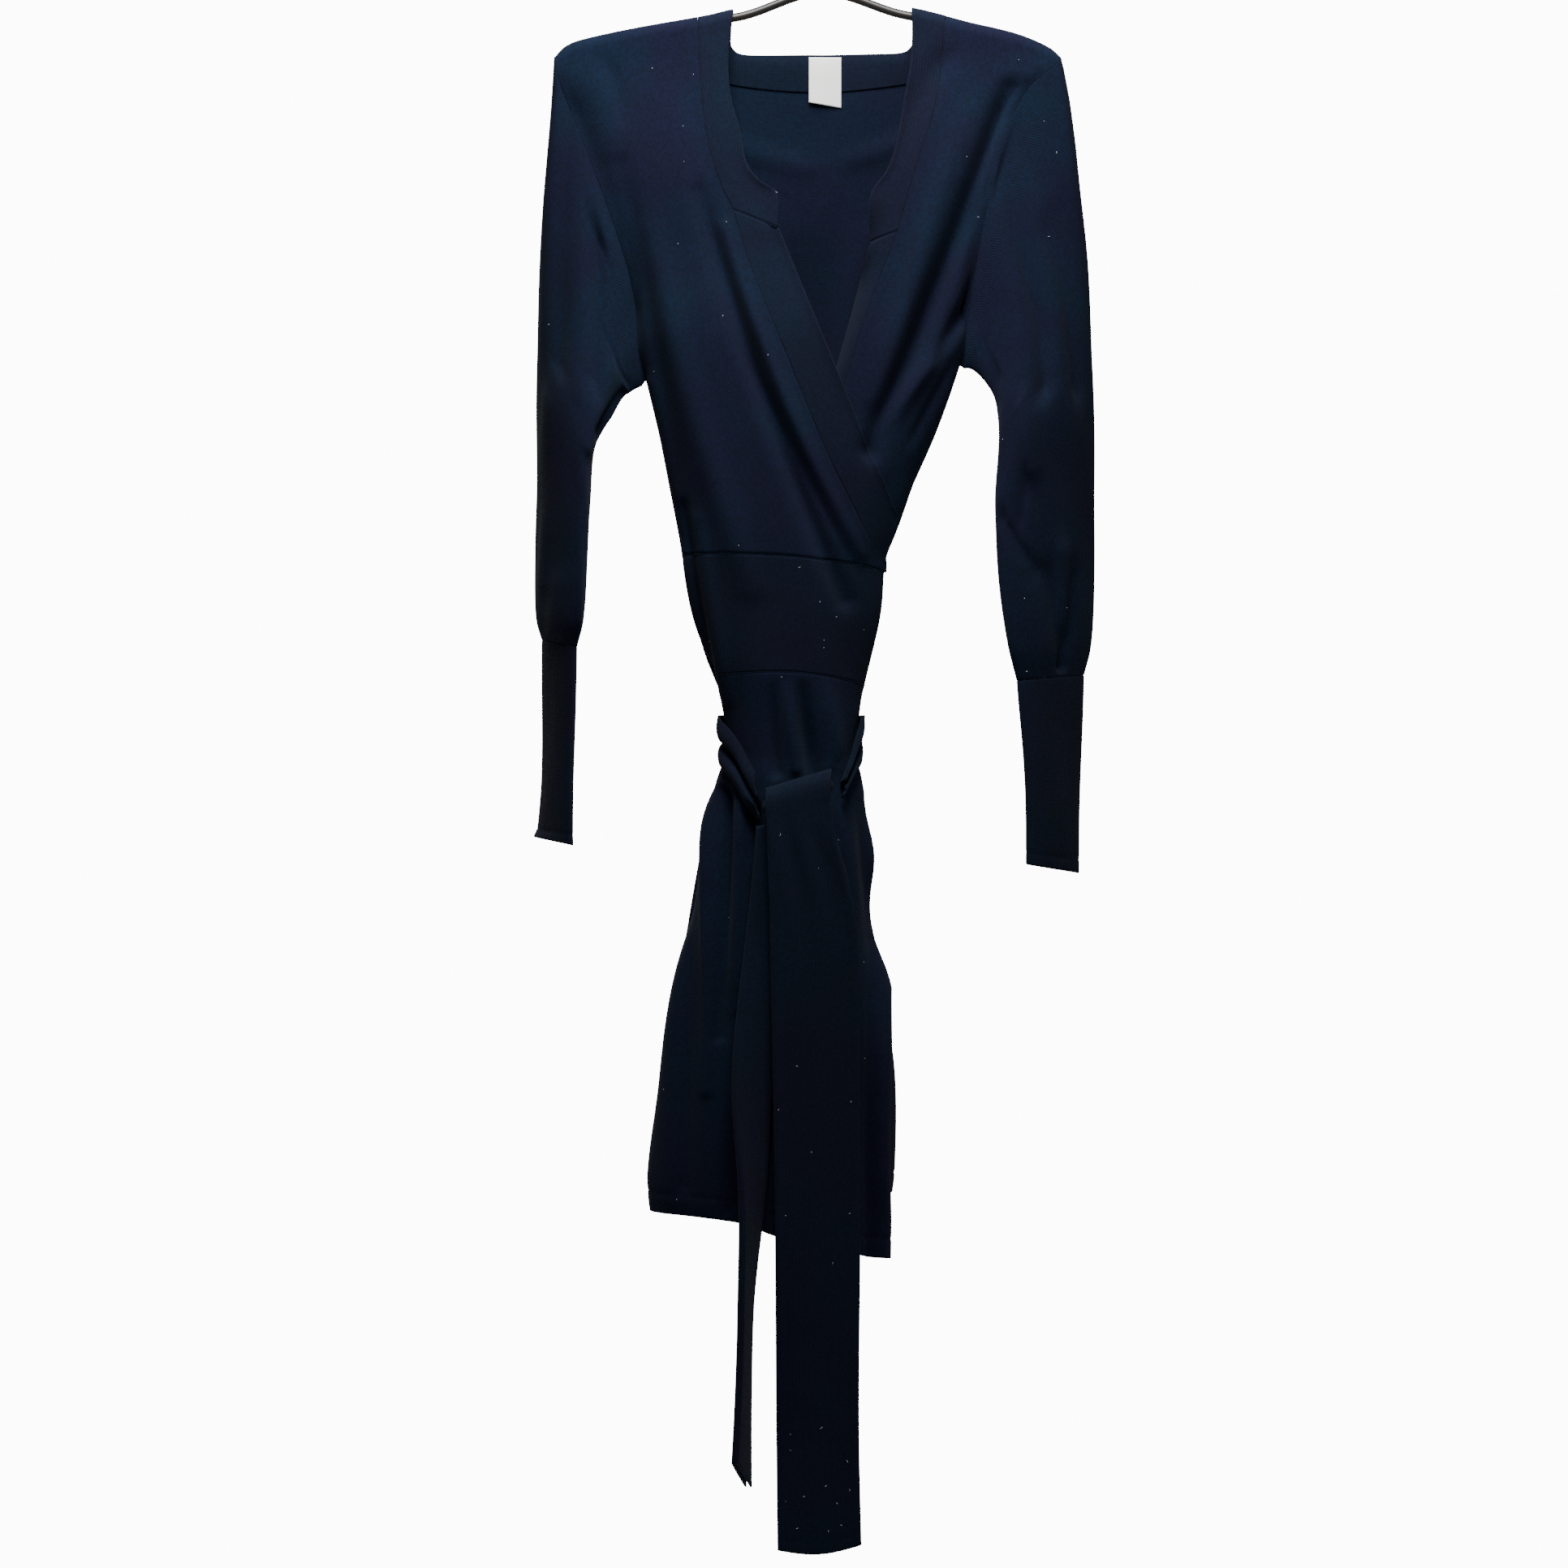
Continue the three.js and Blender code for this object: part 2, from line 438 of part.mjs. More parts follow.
// A mesh from rows of outer and inner points, closed along the grid's four edges.
function meshOf(name, outer, inner, material) {
  const rows = outer.length;
  const columns = outer[0].length;
  const points = [...outer.flat(), ...inner.flat()];
  const outerAt = (i, j) => i * columns + j;
  const innerAt = (i, j) => rows * columns + outerAt(i, j);
  const faces = [];
  const quad = (a, b, c, d) => faces.push(a, b, c, a, c, d);
  const [lastRow, lastColumn] = [rows - 1, columns - 1];
  for (let i = 0; i < lastRow; i += 1) {
    for (let j = 0; j < lastColumn; j += 1) {
      quad(outerAt(i, j), outerAt(i + 1, j), outerAt(i + 1, j + 1), outerAt(i, j + 1));
      quad(innerAt(i, j), innerAt(i, j + 1), innerAt(i + 1, j + 1), innerAt(i + 1, j));
    }
    const j = lastColumn;
    quad(outerAt(i, 0), innerAt(i, 0), innerAt(i + 1, 0), outerAt(i + 1, 0));
    quad(outerAt(i, j), outerAt(i + 1, j), innerAt(i + 1, j), innerAt(i, j));
  }
  for (let j = 0; j < lastColumn; j += 1) {
    const i = lastRow;
    quad(outerAt(0, j), outerAt(0, j + 1), innerAt(0, j + 1), innerAt(0, j));
    quad(outerAt(i, j), innerAt(i, j), innerAt(i, j + 1), outerAt(i, j + 1));
  }
  let volume = 0;
  for (let f = 0; f < faces.length; f += 3) {
    const [a, b, c] = [points[faces[f]], points[faces[f + 1]], points[faces[f + 2]]];
    volume += a.dot(new THREE.Vector3().crossVectors(b, c));
  }
  if (volume < 0) faces.reverse();
  const geometry = new THREE.BufferGeometry().setFromPoints(points);
  geometry.setIndex(faces);
  geometry.computeVertexNormals();
  const mesh = new THREE.Mesh(geometry, material);
  mesh.name = name;
  return mesh;
}

// The direction that a surface faces; out is 1 or -1, for the order of its two directions.
function facing(pointAt, u, v, out, round) {
  const low = round ? u - STEP : Math.max(u - STEP, 0);
  const high = round ? u + STEP : Math.min(u + STEP, 1);
  const du = pointAt(high, v).sub(pointAt(low, v));
  const dv = pointAt(u, Math.min(v + STEP, 1)).sub(pointAt(u, Math.max(v - STEP, 0)));
  return du.cross(dv).normalize().multiplyScalar(out);
}

// A wall over an open grid. keep holds its points on their own side of a seam.
function wall(name, [columns, rows], thick, out, pointAt, material, keep = (p) => p) {
  const outer = [];
  const inner = [];
  for (let i = 0; i <= rows; i += 1) {
    const pairs = [];
    for (let j = 0; j <= columns; j += 1) {
      const [u, v] = [j / columns, i / rows];
      const point = pointAt(u, v);
      const normal = facing(pointAt, u, v, out, false);
      pairs.push([keep(point.clone()), keep(point.addScaledVector(normal, -thick))]);
    }
    outer.push(pairs.map((pair) => pair[0]));
    inner.push(pairs.map((pair) => pair[1]));
  }
  return meshOf(name, outer, inner, material);
}

// The front half or the back half of a tube, half a gap short of the other one along both its
// folds. first, where given, makes the pairs of points of its first ring.
function halfTube(name, [columns, rows], half, out, pointAt, material, first) {
  const outer = [];
  const inner = [];
  for (let i = 0; i <= rows; i += 1) {
    const v = i / rows;
    const pairs = [];
    for (let j = 0; j <= columns; j += 1) {
      const u = crowd((half + j / columns) / 2);
      const point = pointAt(u, v);
      const normal = facing(pointAt, u, v, out, true);
      const pair = i === 0 && first ? first(u) : [point, point.clone().addScaledVector(normal, -CLOTH)];
      const toEnd = (j === 0 ? 1 : 0) - (j === columns ? 1 : 0);
      const along = pointAt(u + STEP, v).sub(pointAt(u - STEP, v)).normalize();
      pairs.push(pair.map((p) => p.addScaledVector(along, (toEnd * SEAM) / 2)));
    }
    outer.push(pairs.map((pair) => pair[0]));
    inner.push(pairs.map((pair) => pair[1]));
  }
  return meshOf(name, outer, inner, material);
}

// Both halves of a tube, as one piece each.
const tube = (name, ...shape) => ['front', 'back'].map((side, half) =>
  halfTube(`${name}_${side}`, shape[0], half, ...shape.slice(1)));

// Columns stand closer at the top of a sleeve, where its gathers are.
const crowd = (t) => t - (CROWDING * Math.sin(2 * Math.PI * t)) / (2 * Math.PI);

const keepSide = (side) => (p) => {
  p.y = side * Math.max(side * p.y, SEAM / 2);
  return p;
};

// Height below the shoulder seam of each grid row: close rows over the shoulder, then even ones
// down to the share of the whole height where the underarm lies, and even ones below it.
function fallAt(v, rows, full, share) {
  const at = v * rows;
  if (at <= 1) return FIRST_ROW * at;
  if (at <= 2) return FIRST_ROW + (SHOULDER_ARCH - FIRST_ROW) * (at - 1);
  const knee = share * full;
  if (at <= UNDERARM_ROW) {
    return SHOULDER_ARCH + ((knee - SHOULDER_ARCH) * (at - 2)) / (UNDERARM_ROW - 2);
  }
  return knee + ((full - knee) * (at - UNDERARM_ROW)) / (rows - UNDERARM_ROW);
}

const underarmShare = (hole) => (hole.under - hole.tip) / (hole.waist - SEAM / 2 - hole.tip);

// The drop of a level seam at the place across where a panel's column reaches it.
function seamDrop(rows, acrossFor) {
  let drop = rows[0].drop;
  for (let i = 0; i < SEARCH_ROUNDS; i += 1) drop = lookUp(rows, 'across', 'drop', acrossFor(drop));
  return drop;
}

// A bodice panel between two slanting edges, hanging from the shoulder seam.
function shoulderPanel(name, grid, thick, edges, material) {
  const side = -1;
  const acrossFor = (u) => (drop) => edges.left(drop) + (edges.right(drop) - edges.left(drop)) * u;
  const pointAt = (u, v) => {
    const across = acrossFor(u);
    const top = shoulderDrop(xAt(side, across(0), 0));
    const fall = fallAt(v, grid[1], edges.bottom(u, across) - top, edges.share);
    const drop = top + fall;
    return bodyPoint(side, across(drop), drop, fall, edges.lift(across(drop), drop));
  };
  return wall(name, grid, thick, side, pointAt, material, keepSide(side));
}

// A panel between two level seams. edges give its ends by drop and its seams by place across.
function levelPanel(name, grid, thick, side, edges, material) {
  const pointAt = (u, v) => {
    const across = (drop) => edges.left(drop) + (edges.right(drop) - edges.left(drop)) * u;
    const top = edges.top(across, u);
    const drop = top + (edges.bottom(across) - top) * v ** (edges.power ?? 1);
    const bend = edges.bend ? edges.bend(u, drop) : 0;
    const lift = edges.lift(across(drop), drop, v);
    const point = bodyPoint(side, across(drop), drop, WELL_BELOW, lift);
    point.y += bend;
    return point;
  };
  return wall(name, grid, thick, side, pointAt, material, keepSide(side));
}

const mix = ([a, b], t) => a + (b - a) * t;
const lineAt = (rows, drop) => lookUp(rows, 'drop', 'x', drop);
const frontLine = (rows, shift) => (drop) => acrossAt(-1, lineAt(rows, drop) + shift, drop);
const freeSide = (drop) =>
  mix([FREE_SIDE.corner, FREE_SIDE.skirt], smooth(FREE_SIDE.from, FREE_SIDE.to, drop));
const capped = (line) => (drop) => Math.min(line(drop), freeSide(drop));
const none = () => 0;
const whole = () => 1;

// Front bodice, its bands and the neck band's front lengths
function bodiceFronts() {
  const waist = (u, across) => seamDrop(WAIST_TOP, across) - SEAM / 2;
  const over = {
    left: none, right: frontLine(OVER_SEAM, -NECK_GAP), bottom: waist, lift: overLift,
    share: underarmShare(ARMHOLE.left),
  };
  const under = {
    left: frontLine(UNDER_SEAM, NECK_GAP), right: whole, bottom: waist, lift: none,
    share: underarmShare(ARMHOLE.right),
  };
  const neckLeft = {
    left: frontLine(OVER_SEAM, SEAM), right: frontLine(NECK_EDGE_LEFT, 0),
    bottom: (u) => mix(NECK_END.left, u) - NECK_GAP, lift: overLift, share: 1,
  };
  const neckRight = {
    left: frontLine(NECK_EDGE_RIGHT, 0), right: frontLine(UNDER_SEAM, -SEAM),
    bottom: (u) => mix(NECK_END.right, 1 - u) - NECK_GAP, lift: none, share: 1,
  };
  const wrapOver = {
    left: frontLine(OVER_SEAM, SEAM), right: capped(frontLine(OVER_EDGE, 0)),
    top: (across, u) => mix(NECK_END.left, u) + SEAM,
    bottom: (across) => seamDrop(WAIST_TOP, across) - SEAM / 2, lift: overLift,
  };
  const curl = (u, drop) => {
    const { out, from, full, fade, end } = UNDER_CURL;
    return out * (1 - u) ** 2 * smooth(from, full, drop) * (1 - smooth(fade, end, drop));
  };
  const wrapUnder = {
    left: frontLine(UNDER_EDGE, 0), right: frontLine(UNDER_SEAM, -SEAM),
    top: (across, u) => mix(NECK_END.right, 1 - u) + SEAM,
    bottom: (across) => seamDrop(WAIST_TOP, across) - SEAM / 2, lift: none, bend: curl,
  };
  return [
    shoulderPanel('bodice_front_over', GRID.over, CLOTH, over, NAVY),
    shoulderPanel('bodice_front_under', GRID.under, CLOTH, under, NAVY),
    shoulderPanel('neck_band_left', GRID.neckSide, DOUBLED, neckLeft, DEEP),
    shoulderPanel('neck_band_right', GRID.neckSide, DOUBLED, neckRight, DEEP),
    levelPanel('wrap_band_over', GRID.wrap, CLOTH, -1, wrapOver, DEEP),
    levelPanel('wrap_band_under', GRID.wrap, CLOTH, -1, wrapUnder, DEEP),
  ];
}

// The back: its top edge runs along the shoulder, round the neck band's seam and out again.
function bodiceBack() {
  const rows = GRID.back[1];
  const { left, right } = BACK_SHOULDERS;
  const neckHalf = NECK_BACK[NECK_BACK.length - 1].seamX;
  const seamX = (along) => lookUp(NECK_BACK, 'along', 'seamX', along) * (1 + SEAM / neckHalf);
  const middle = (u) => u > left && u < 1 - right;
  // Where a column starts: on the neck band's seam, or on the shoulder seam.
  const topAt = (u) => {
    if (middle(u)) {
      const along = (u - left) / (1 - left - right);
      const x = seamX(along);
      const fall = lookUp(NECK_BACK, 'along', 'seamFall', along) + SEAM;
      return { x, fall, drop: shoulderDrop(x) + fall };
    }
    const neckX = seamX(u <= left ? 0 : 1);
    const neck = acrossAt(1, neckX, 0);
    const across = u <= left ? (neck * u) / left : 1 - ((1 - neck) * (1 - u)) / right;
    return { x: neckX, fall: 0, drop: shoulderDrop(xAt(1, across, 0)) };
  };
  const pointAt = (u, v) => {
    const top = topAt(u);
    const full = lookUp(WAIST_TOP, 'across', 'drop', u) - SEAM / 2 - top.drop;
    const share = mix([underarmShare(ARMHOLE.left), underarmShare(ARMHOLE.right)], u);
    const down = fallAt(v, rows, full, share);
    const drop = top.drop + down;
    const below = xAt(1, Math.min(Math.max(u, left), 1 - right), drop);
    let across = acrossAt(1, mix([top.x, below], (down / full) ** BACK_SPREAD), drop);
    if (u <= left) across *= u / left;
    if (u >= 1 - right) across = 1 - ((1 - across) * (1 - u)) / right;
    return bodyPoint(1, across, drop, top.fall + down, 0);
  };
  return wall('bodice_back', GRID.back, CLOTH, 1, pointAt, NAVY, keepSide(1));
}

function neckBack() {
  const columns = GRID.neckBack[0];
  const even = columns - 2 * NECK_ARCH.length;
  const places = [...Array(even - 1).keys()].map((i) => (i + 1) / even);
  const stops = [0, ...NECK_ARCH, ...places, ...NECK_ARCH.map((share) => 1 - share).reverse(), 1];
  const pointAt = (u, v) => {
    const i = Math.min(Math.floor(u * columns), columns - 1);
    const place = mix([stops[i], stops[i + 1]], u * columns - i);
    const at = (column) => lookUp(NECK_BACK, 'along', column, place);
    const x = mix([at('edgeX'), at('seamX')], v);
    const fall = mix([at('edgeFall'), at('seamFall')], v);
    const drop = shoulderDrop(x) + fall;
    return bodyPoint(1, acrossAt(1, x, drop), drop, fall, 0);
  };
  return wall('neck_band_back', GRID.neckBack, DOUBLED, 1, pointAt, DEEP, keepSide(1));
}

// Waistband and skirt
function lowerPieces() {
  const waistTop = (across) => seamDrop(WAIST_TOP, across) + SEAM / 2;
  const waistBottom = (across) => seamDrop(WAIST_BOTTOM, across) - SEAM / 2;
  const skirtTop = (across) => seamDrop(WAIST_BOTTOM, across) + SEAM / 2;
  const overHem = (across) => seamDrop(OVER_HEM, across);
  const innerHem = (across) => seamDrop(INNER_HEM, across);
  const edgeAt = (x) => (drop) => acrossAt(-1, x, drop);
  const back = { left: none, right: whole, lift: none };
  const over = { left: none, right: freeSide, lift: overLift };
  const under = { left: edgeAt(UNDER_WAIST_X), right: whole, lift: none };
  const band = { top: waistTop, bottom: waistBottom };
  const skirt = { top: skirtTop, bottom: innerHem, power: SKIRT_ROWS };
  const overSkirt = { ...over, ...skirt, right: capped(frontLine(SKIRT_EDGE, 0)), bottom: overHem };
  const underSkirt = { ...under, ...skirt, left: edgeAt(UNDER_HEM_X) };
  return [
    levelPanel('waistband_back', GRID.waistBack, CLOTH, 1, { ...back, ...band }, DEEP),
    levelPanel('waistband_over', GRID.waistOver, CLOTH, -1, { ...over, ...band }, DEEP),
    levelPanel('waistband_under', GRID.waistUnder, CLOTH, -1, { ...under, ...band }, DEEP),
    levelPanel('skirt_back', GRID.skirtBack, CLOTH, 1, { ...back, ...skirt }, NAVY),
    levelPanel('skirt_over', GRID.skirtOver, CLOTH, -1, overSkirt, NAVY),
    levelPanel('skirt_under', GRID.skirtUnder, CLOTH, -1, underSkirt, NAVY),
  ];
}

// A point of the armhole's loop, which leaves the shoulder's tip down the front and comes back
// up behind, straight from one grid row of the body to the next.
function armholePoint(hole, across, t, shift = 0) {
  const full = hole.waist - SEAM / 2 - hole.tip;
  const fall = ((hole.under - hole.tip) * (1 - Math.cos(2 * Math.PI * t))) / 2;
  const side = t - Math.floor(t) < 0.5 ? -1 : 1;
  const rowFall = (i) => fallAt(i / GRID.back[1], GRID.back[1], full, underarmShare(hole));
  let row = 0;
  while (row < UNDERARM_ROW - 1 && rowFall(row + 1) < fall) row += 1;
  const share = (fall - rowFall(row)) / (rowFall(row + 1) - rowFall(row));
  const [above, below] = [row, row + 1].map((i) =>
    bodyPoint(side, across + shift, hole.tip + rowFall(i), rowFall(i), 0));
  return above.lerp(below, share);
}

function sleevePoint(rows, at, t) {
  const [outX, outDrop, inX, inDrop, deep, turn] = ['outX', 'outDrop', 'inX', 'inDrop', 'deep', 'turn']
    .map((column) => lookUp(rows, 'at', column, at));
  const [c, s] = [Math.cos(2 * Math.PI * t), Math.sin(2 * Math.PI * t)];
  return new THREE.Vector3(
    (outX + inX) / 2 + ((outX - inX) / 2) * c,
    turn * c - deep * s,
    -(outDrop + inDrop) / 2 - ((outDrop - inDrop) / 2) * c,
  );
}

function sleeve(name, rows, folds, hole, across) {
  const out = across === 0 ? -1 : 1;
  const pointAt = (u, v) => {
    const ring = sleevePoint(rows, v, u);
    const keep = lookUp(rows, 'at', 'keep', v);
    const own = armholePoint(hole, across, u).sub(sleevePoint(rows, 0, u));
    const middle = sleevePoint(rows, v, 0).add(sleevePoint(rows, v, 0.5)).multiplyScalar(0.5);
    let push = 0;
    for (const fold of folds) {
      const place = Math.min(Math.max((v - fold.along[0]) / (fold.along[1] - fold.along[0]), 0), 1);
      const round = mix(fold.round, place);
      const beyond = Math.max(fold.along[0] - v, v - fold.along[1], 0) / SLEEVE_FADE.ends;
      push += fold.out * Math.exp(-(((u - round) / fold.wide) ** 2) - beyond ** 2);
    }
    push *= smooth(0, SLEEVE_FADE.armhole, v) * smooth(0, SLEEVE_FADE.cuff, 1 - v);
    const away = ring.clone().sub(middle).normalize();
    return ring.addScaledVector(own, keep).addScaledVector(away, push);
  };
  const first = (t) => {
    const point = armholePoint(hole, across, t);
    const inward = armholePoint(hole, across, t, -out * STEP).sub(point);
    const along = armholePoint(hole, across, t + STEP).sub(armholePoint(hole, across, t - STEP));
    const normal = along.clone().cross(inward).normalize();
    if (normal.dot(new THREE.Vector3(out, t < 0.5 ? -1 : 1, 0.5)) < 0) normal.negate();
    const gap = normal.clone().cross(along).normalize().multiplyScalar(out * SEAM);
    const outer = point.add(gap);
    return [outer.clone(), outer.clone().addScaledVector(normal, -CLOTH)];
  };
  return tube(name, GRID.sleeve, out, pointAt, NAVY, first);
}

function sleeves() {
  const cuff = (name, rows, out) =>
    tube(name, GRID.cuff, out, (u, v) => sleevePoint(rows, v, u), DEEP);
  return [
    ...sleeve('sleeve_left', LEFT_SLEEVE, LEFT_SLEEVE_FOLDS, ARMHOLE.left, 0),
    ...sleeve('sleeve_right', RIGHT_SLEEVE, RIGHT_SLEEVE_FOLDS, ARMHOLE.right, 1),
    ...cuff('cuff_left', LEFT_CUFF, -1),
    ...cuff('cuff_right', RIGHT_CUFF, 1),
  ];
}

// The tie belt lies on the layers below it, all round.
function belt() {
  const onFront = (across, drop, v) => {
    const crease = BELT_CREASE.out * Math.exp(-(((v - 0.5) / BELT_CREASE.wide) ** 2));
    return overLift(across, drop) + BELT_AIR + DOUBLED + crease;
  };
  const onBack = (across) =>
    BELT_AIR + DOUBLED + overLift(1, BELT_BACK.top) * smooth(1 - OVER_LEAVES.across, 1, across);
  const edge = (rows, column) => (across) => {
    let drop = BELT_BACK.top;
    for (let i = 0; i < SEARCH_ROUNDS; i += 1) {
      drop = lookUp(rows, 'x', column, xAt(-1, across(drop), drop));
    }
    return drop;
  };
  const stretch = (rows) => ({ top: edge(rows, 'top'), bottom: edge(rows, 'bottom'), lift: onFront });
  const end = (rows, i) => (drop) => acrossAt(-1, rows[i].x, drop);
  const left = { left: none, right: end(BELT_LEFT, BELT_LEFT.length - 1), ...stretch(BELT_LEFT) };
  const right = { left: end(BELT_RIGHT, 0), right: whole, ...stretch(BELT_RIGHT) };
  const back = {
    left: none, right: whole, lift: onBack, top: () => BELT_BACK.top, bottom: () => BELT_BACK.bottom,
  };
  return [
    levelPanel('belt_back', GRID.beltBack, DOUBLED, 1, back, DEEP),
    levelPanel('belt_left', GRID.beltFront, DOUBLED, -1, left, DEEP),
    levelPanel('belt_right', GRID.beltFront, DOUBLED, -1, right, DEEP),
  ];
}

// The knot is a rolled bundle; the main tail leaves its front and the second tail its underside.
function knot() {
  const geometry = new THREE.SphereGeometry(1, KNOT_SHAPE.around, KNOT_SHAPE.down);
  const at = geometry.attributes.position;
  const square = (value) => Math.sign(value) * Math.abs(value) ** KNOT_SHAPE.square;
  for (let i = 0; i < at.count; i += 1) {
    const x = square(at.getX(i)) * KNOT.halfWide;
    at.setXYZ(
      i,
      KNOT.x + x,
      KNOT.y - at.getZ(i) * KNOT.halfDeep,
      -KNOT.drop + KNOT.slope * x + at.getY(i) * KNOT.halfTall,
    );
  }
  const mesh = new THREE.Mesh(geometry, DEEP);
  mesh.name = 'belt_knot';
  return mesh;
}

// Top of a tail that hangs from the knot.
const underKnot = (x, below) => KNOT.drop + below - KNOT.slope * (x - KNOT.x);

function mainTail() {
  const pointAt = (u, v) => {
    const at = (column, drop) => lookUp(MAIN_TAIL, 'drop', column, drop);
    const across = (drop) => mix([at('left', drop), at('right', drop)], u);
    const top = underKnot(across(KNOT.drop), KNOT.halfTall - KNOT_SHAPE.tuck);
    const end = MAIN_TAIL_END.drop + MAIN_TAIL_END.sag * Math.sin(Math.PI * u) + MAIN_TAIL_END.slant * u;
    const drop = top + (end - top) * v;
    return new THREE.Vector3(across(drop), at('y', drop), -drop);
  };
  return wall('belt_tail_main', GRID.tail, DOUBLED, -1, pointAt, DEEP);
}

function secondTail() {
  const { leaf, open, slant } = SECOND_TAIL_END;
  const radius = open / 2 + CLOTH;
  const pointAt = (u, v) => {
    const along = Math.max(Math.abs(u - 0.5) / LEAF_SHARE - 1, 0);
    const start = SECOND_TAIL[0].drop + (1 - along) * KNOT.slope * leaf;
    const drop = start + (SECOND_TAIL_END.drop + slant * along - start) * v;
    const turn = THREE.MathUtils.degToRad(lookUp(SECOND_TAIL, 'drop', 'turn', drop));
    const width = new THREE.Vector3(Math.cos(turn), Math.sin(turn), 0);
    const front = new THREE.Vector3(Math.sin(turn), -Math.cos(turn), 0);
    const bend = Math.PI * Math.min(Math.max((u - LEAF_SHARE) / (1 - 2 * LEAF_SHARE), 0), 1);
    return new THREE.Vector3(lineAt(SECOND_TAIL, drop), lookUp(SECOND_TAIL, 'drop', 'y', drop), -drop)
      .addScaledVector(width, leaf * (along - 1) - radius * Math.sin(bend))
      .addScaledVector(front, radius * Math.cos(bend));
  };
  return wall('belt_tail_second', GRID.foldedTail, CLOTH, 1, pointAt, DEEP);
}

function label() {
  const pointAt = (u, v) => {
    const x = mix([LABEL.left, LABEL.right], u);
    const drop = LABEL.top + (mix(LABEL.bottom, u) - LABEL.top) * v;
    return bodyPoint(1, acrossAt(1, x, drop), drop, drop - shoulderDrop(x), -(DOUBLED + LABEL_GAP));
  };
  return wall('label', GRID.label, LABEL.thick, 1, pointAt, WHITE);
}

function round(radius, sides) {
  const shape = new THREE.Shape();
  for (let i = 0; i < sides; i += 1) {
    const angle = (2 * Math.PI * i) / sides;
    const [x, y] = [radius * Math.cos(angle), radius * Math.sin(angle)];
    if (i === 0) shape.moveTo(x, y);
    else shape.lineTo(x, y);
  }
  return shape;
}

function hanger() {
  const top = (x) => -shoulderDrop(x) - BAR.under + BAR.rise * smooth(BAR.neck, 0, Math.abs(x));
  const centre = [];
  for (let i = 0; i <= BAR.steps; i += 1) {
    const x = mix([BAR.leftTip, BAR.rightTip], i / BAR.steps);
    centre.push(new THREE.Vector3(x, 0, top(x) - BAR.radius));
  }
  const barPath = new THREE.CatmullRomCurve3(centre);
  const bar = new THREE.Mesh(
    new THREE.ExtrudeGeometry(round(BAR.radius, BAR.sides), {
      steps: BAR.steps, extrudePath: barPath,
    }),
    DARK,
  );
  bar.name = 'hanger_bar';
  const bow = HOOK.radius + HOOK.wire;
  const foot = top(0) + SEAM;
  const wire = [new THREE.Vector3(0, 0, foot), new THREE.Vector3(0, 0, foot + HOOK.stem)];
  for (let angle = HOOK.start; angle <= HOOK.end; angle += HOOK.every) {
    const turn = THREE.MathUtils.degToRad(angle);
    wire.push(new THREE.Vector3(
      bow * Math.cos(turn), 0, HOOK_TO_NECK - HOOK.radius + bow * Math.sin(turn),
    ));
  }
  const hookPath = new THREE.CatmullRomCurve3(wire, false, 'centripetal');
  const hook = new THREE.Mesh(
    new THREE.ExtrudeGeometry(round(HOOK.wire, HOOK.sides), {
      steps: HOOK.steps, extrudePath: hookPath,
    }),
    STEEL,
  );
  hook.name = 'hanger_hook';
  return [bar, hook];
}

const group = new THREE.Group();
group.add(
  bodiceBack(), ...bodiceFronts(), neckBack(), ...lowerPieces(), ...sleeves(), ...belt(), knot(),
  mainTail(), secondTail(), label(), ...hanger(),
);
group.position.z = -HOOK_TO_NECK;
group.updateMatrixWorld(true);

export default group;
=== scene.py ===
# %% [markdown]
# # A knitted wrap dress, hanging from a slim hanger
# The dress is cut from fine navy jersey: two fronts that wrap over each other, a back, long
# sleeves with long cuffs, a waistband, a skirt and a tie belt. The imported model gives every
# piece its real place and size. Here each piece gets a thin shell of the same form, made much
# finer, with its creases, its knitted surface and its seams.

# %% Load the fixed frame
import bpy
import numpy as np
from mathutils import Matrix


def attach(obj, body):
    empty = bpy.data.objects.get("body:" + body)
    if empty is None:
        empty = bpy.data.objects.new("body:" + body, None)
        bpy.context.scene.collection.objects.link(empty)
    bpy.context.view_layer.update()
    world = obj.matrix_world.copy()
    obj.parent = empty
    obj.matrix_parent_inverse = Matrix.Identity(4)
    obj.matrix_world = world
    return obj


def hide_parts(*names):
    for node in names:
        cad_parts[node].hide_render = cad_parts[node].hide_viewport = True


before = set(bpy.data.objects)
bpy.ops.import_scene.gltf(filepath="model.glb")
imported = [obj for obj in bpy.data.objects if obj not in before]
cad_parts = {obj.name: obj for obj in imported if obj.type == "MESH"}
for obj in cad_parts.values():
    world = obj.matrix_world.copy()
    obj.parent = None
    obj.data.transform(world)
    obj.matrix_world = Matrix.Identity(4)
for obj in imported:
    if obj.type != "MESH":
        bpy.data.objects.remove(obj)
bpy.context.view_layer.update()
print("nodes in the frame:", len(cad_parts))

# %% [markdown]
# ## Camera, floor and light
# The camera looks level at the front of the dress, from far away with a long lens, so that
# things near the camera hardly grow. The light is a white room, one wide lamp above and in
# front, and a weaker one on the right: soft light is what shows a dark knit's folds.

# %% Camera, floor and light
MM = 0.001
HOOK_TO_NECK = 96.0
VIEW_X, VIEW_DROP = -28.0, 574.8
VIEW_WIDE, VIEW_FAR = 1159.0, 4600.0


def place(x, y, drop):
    """A place in metres, from x and y and the drop below the neck points, in millimetres."""
    return (x * MM, y * MM, -(drop + HOOK_TO_NECK) * MM)


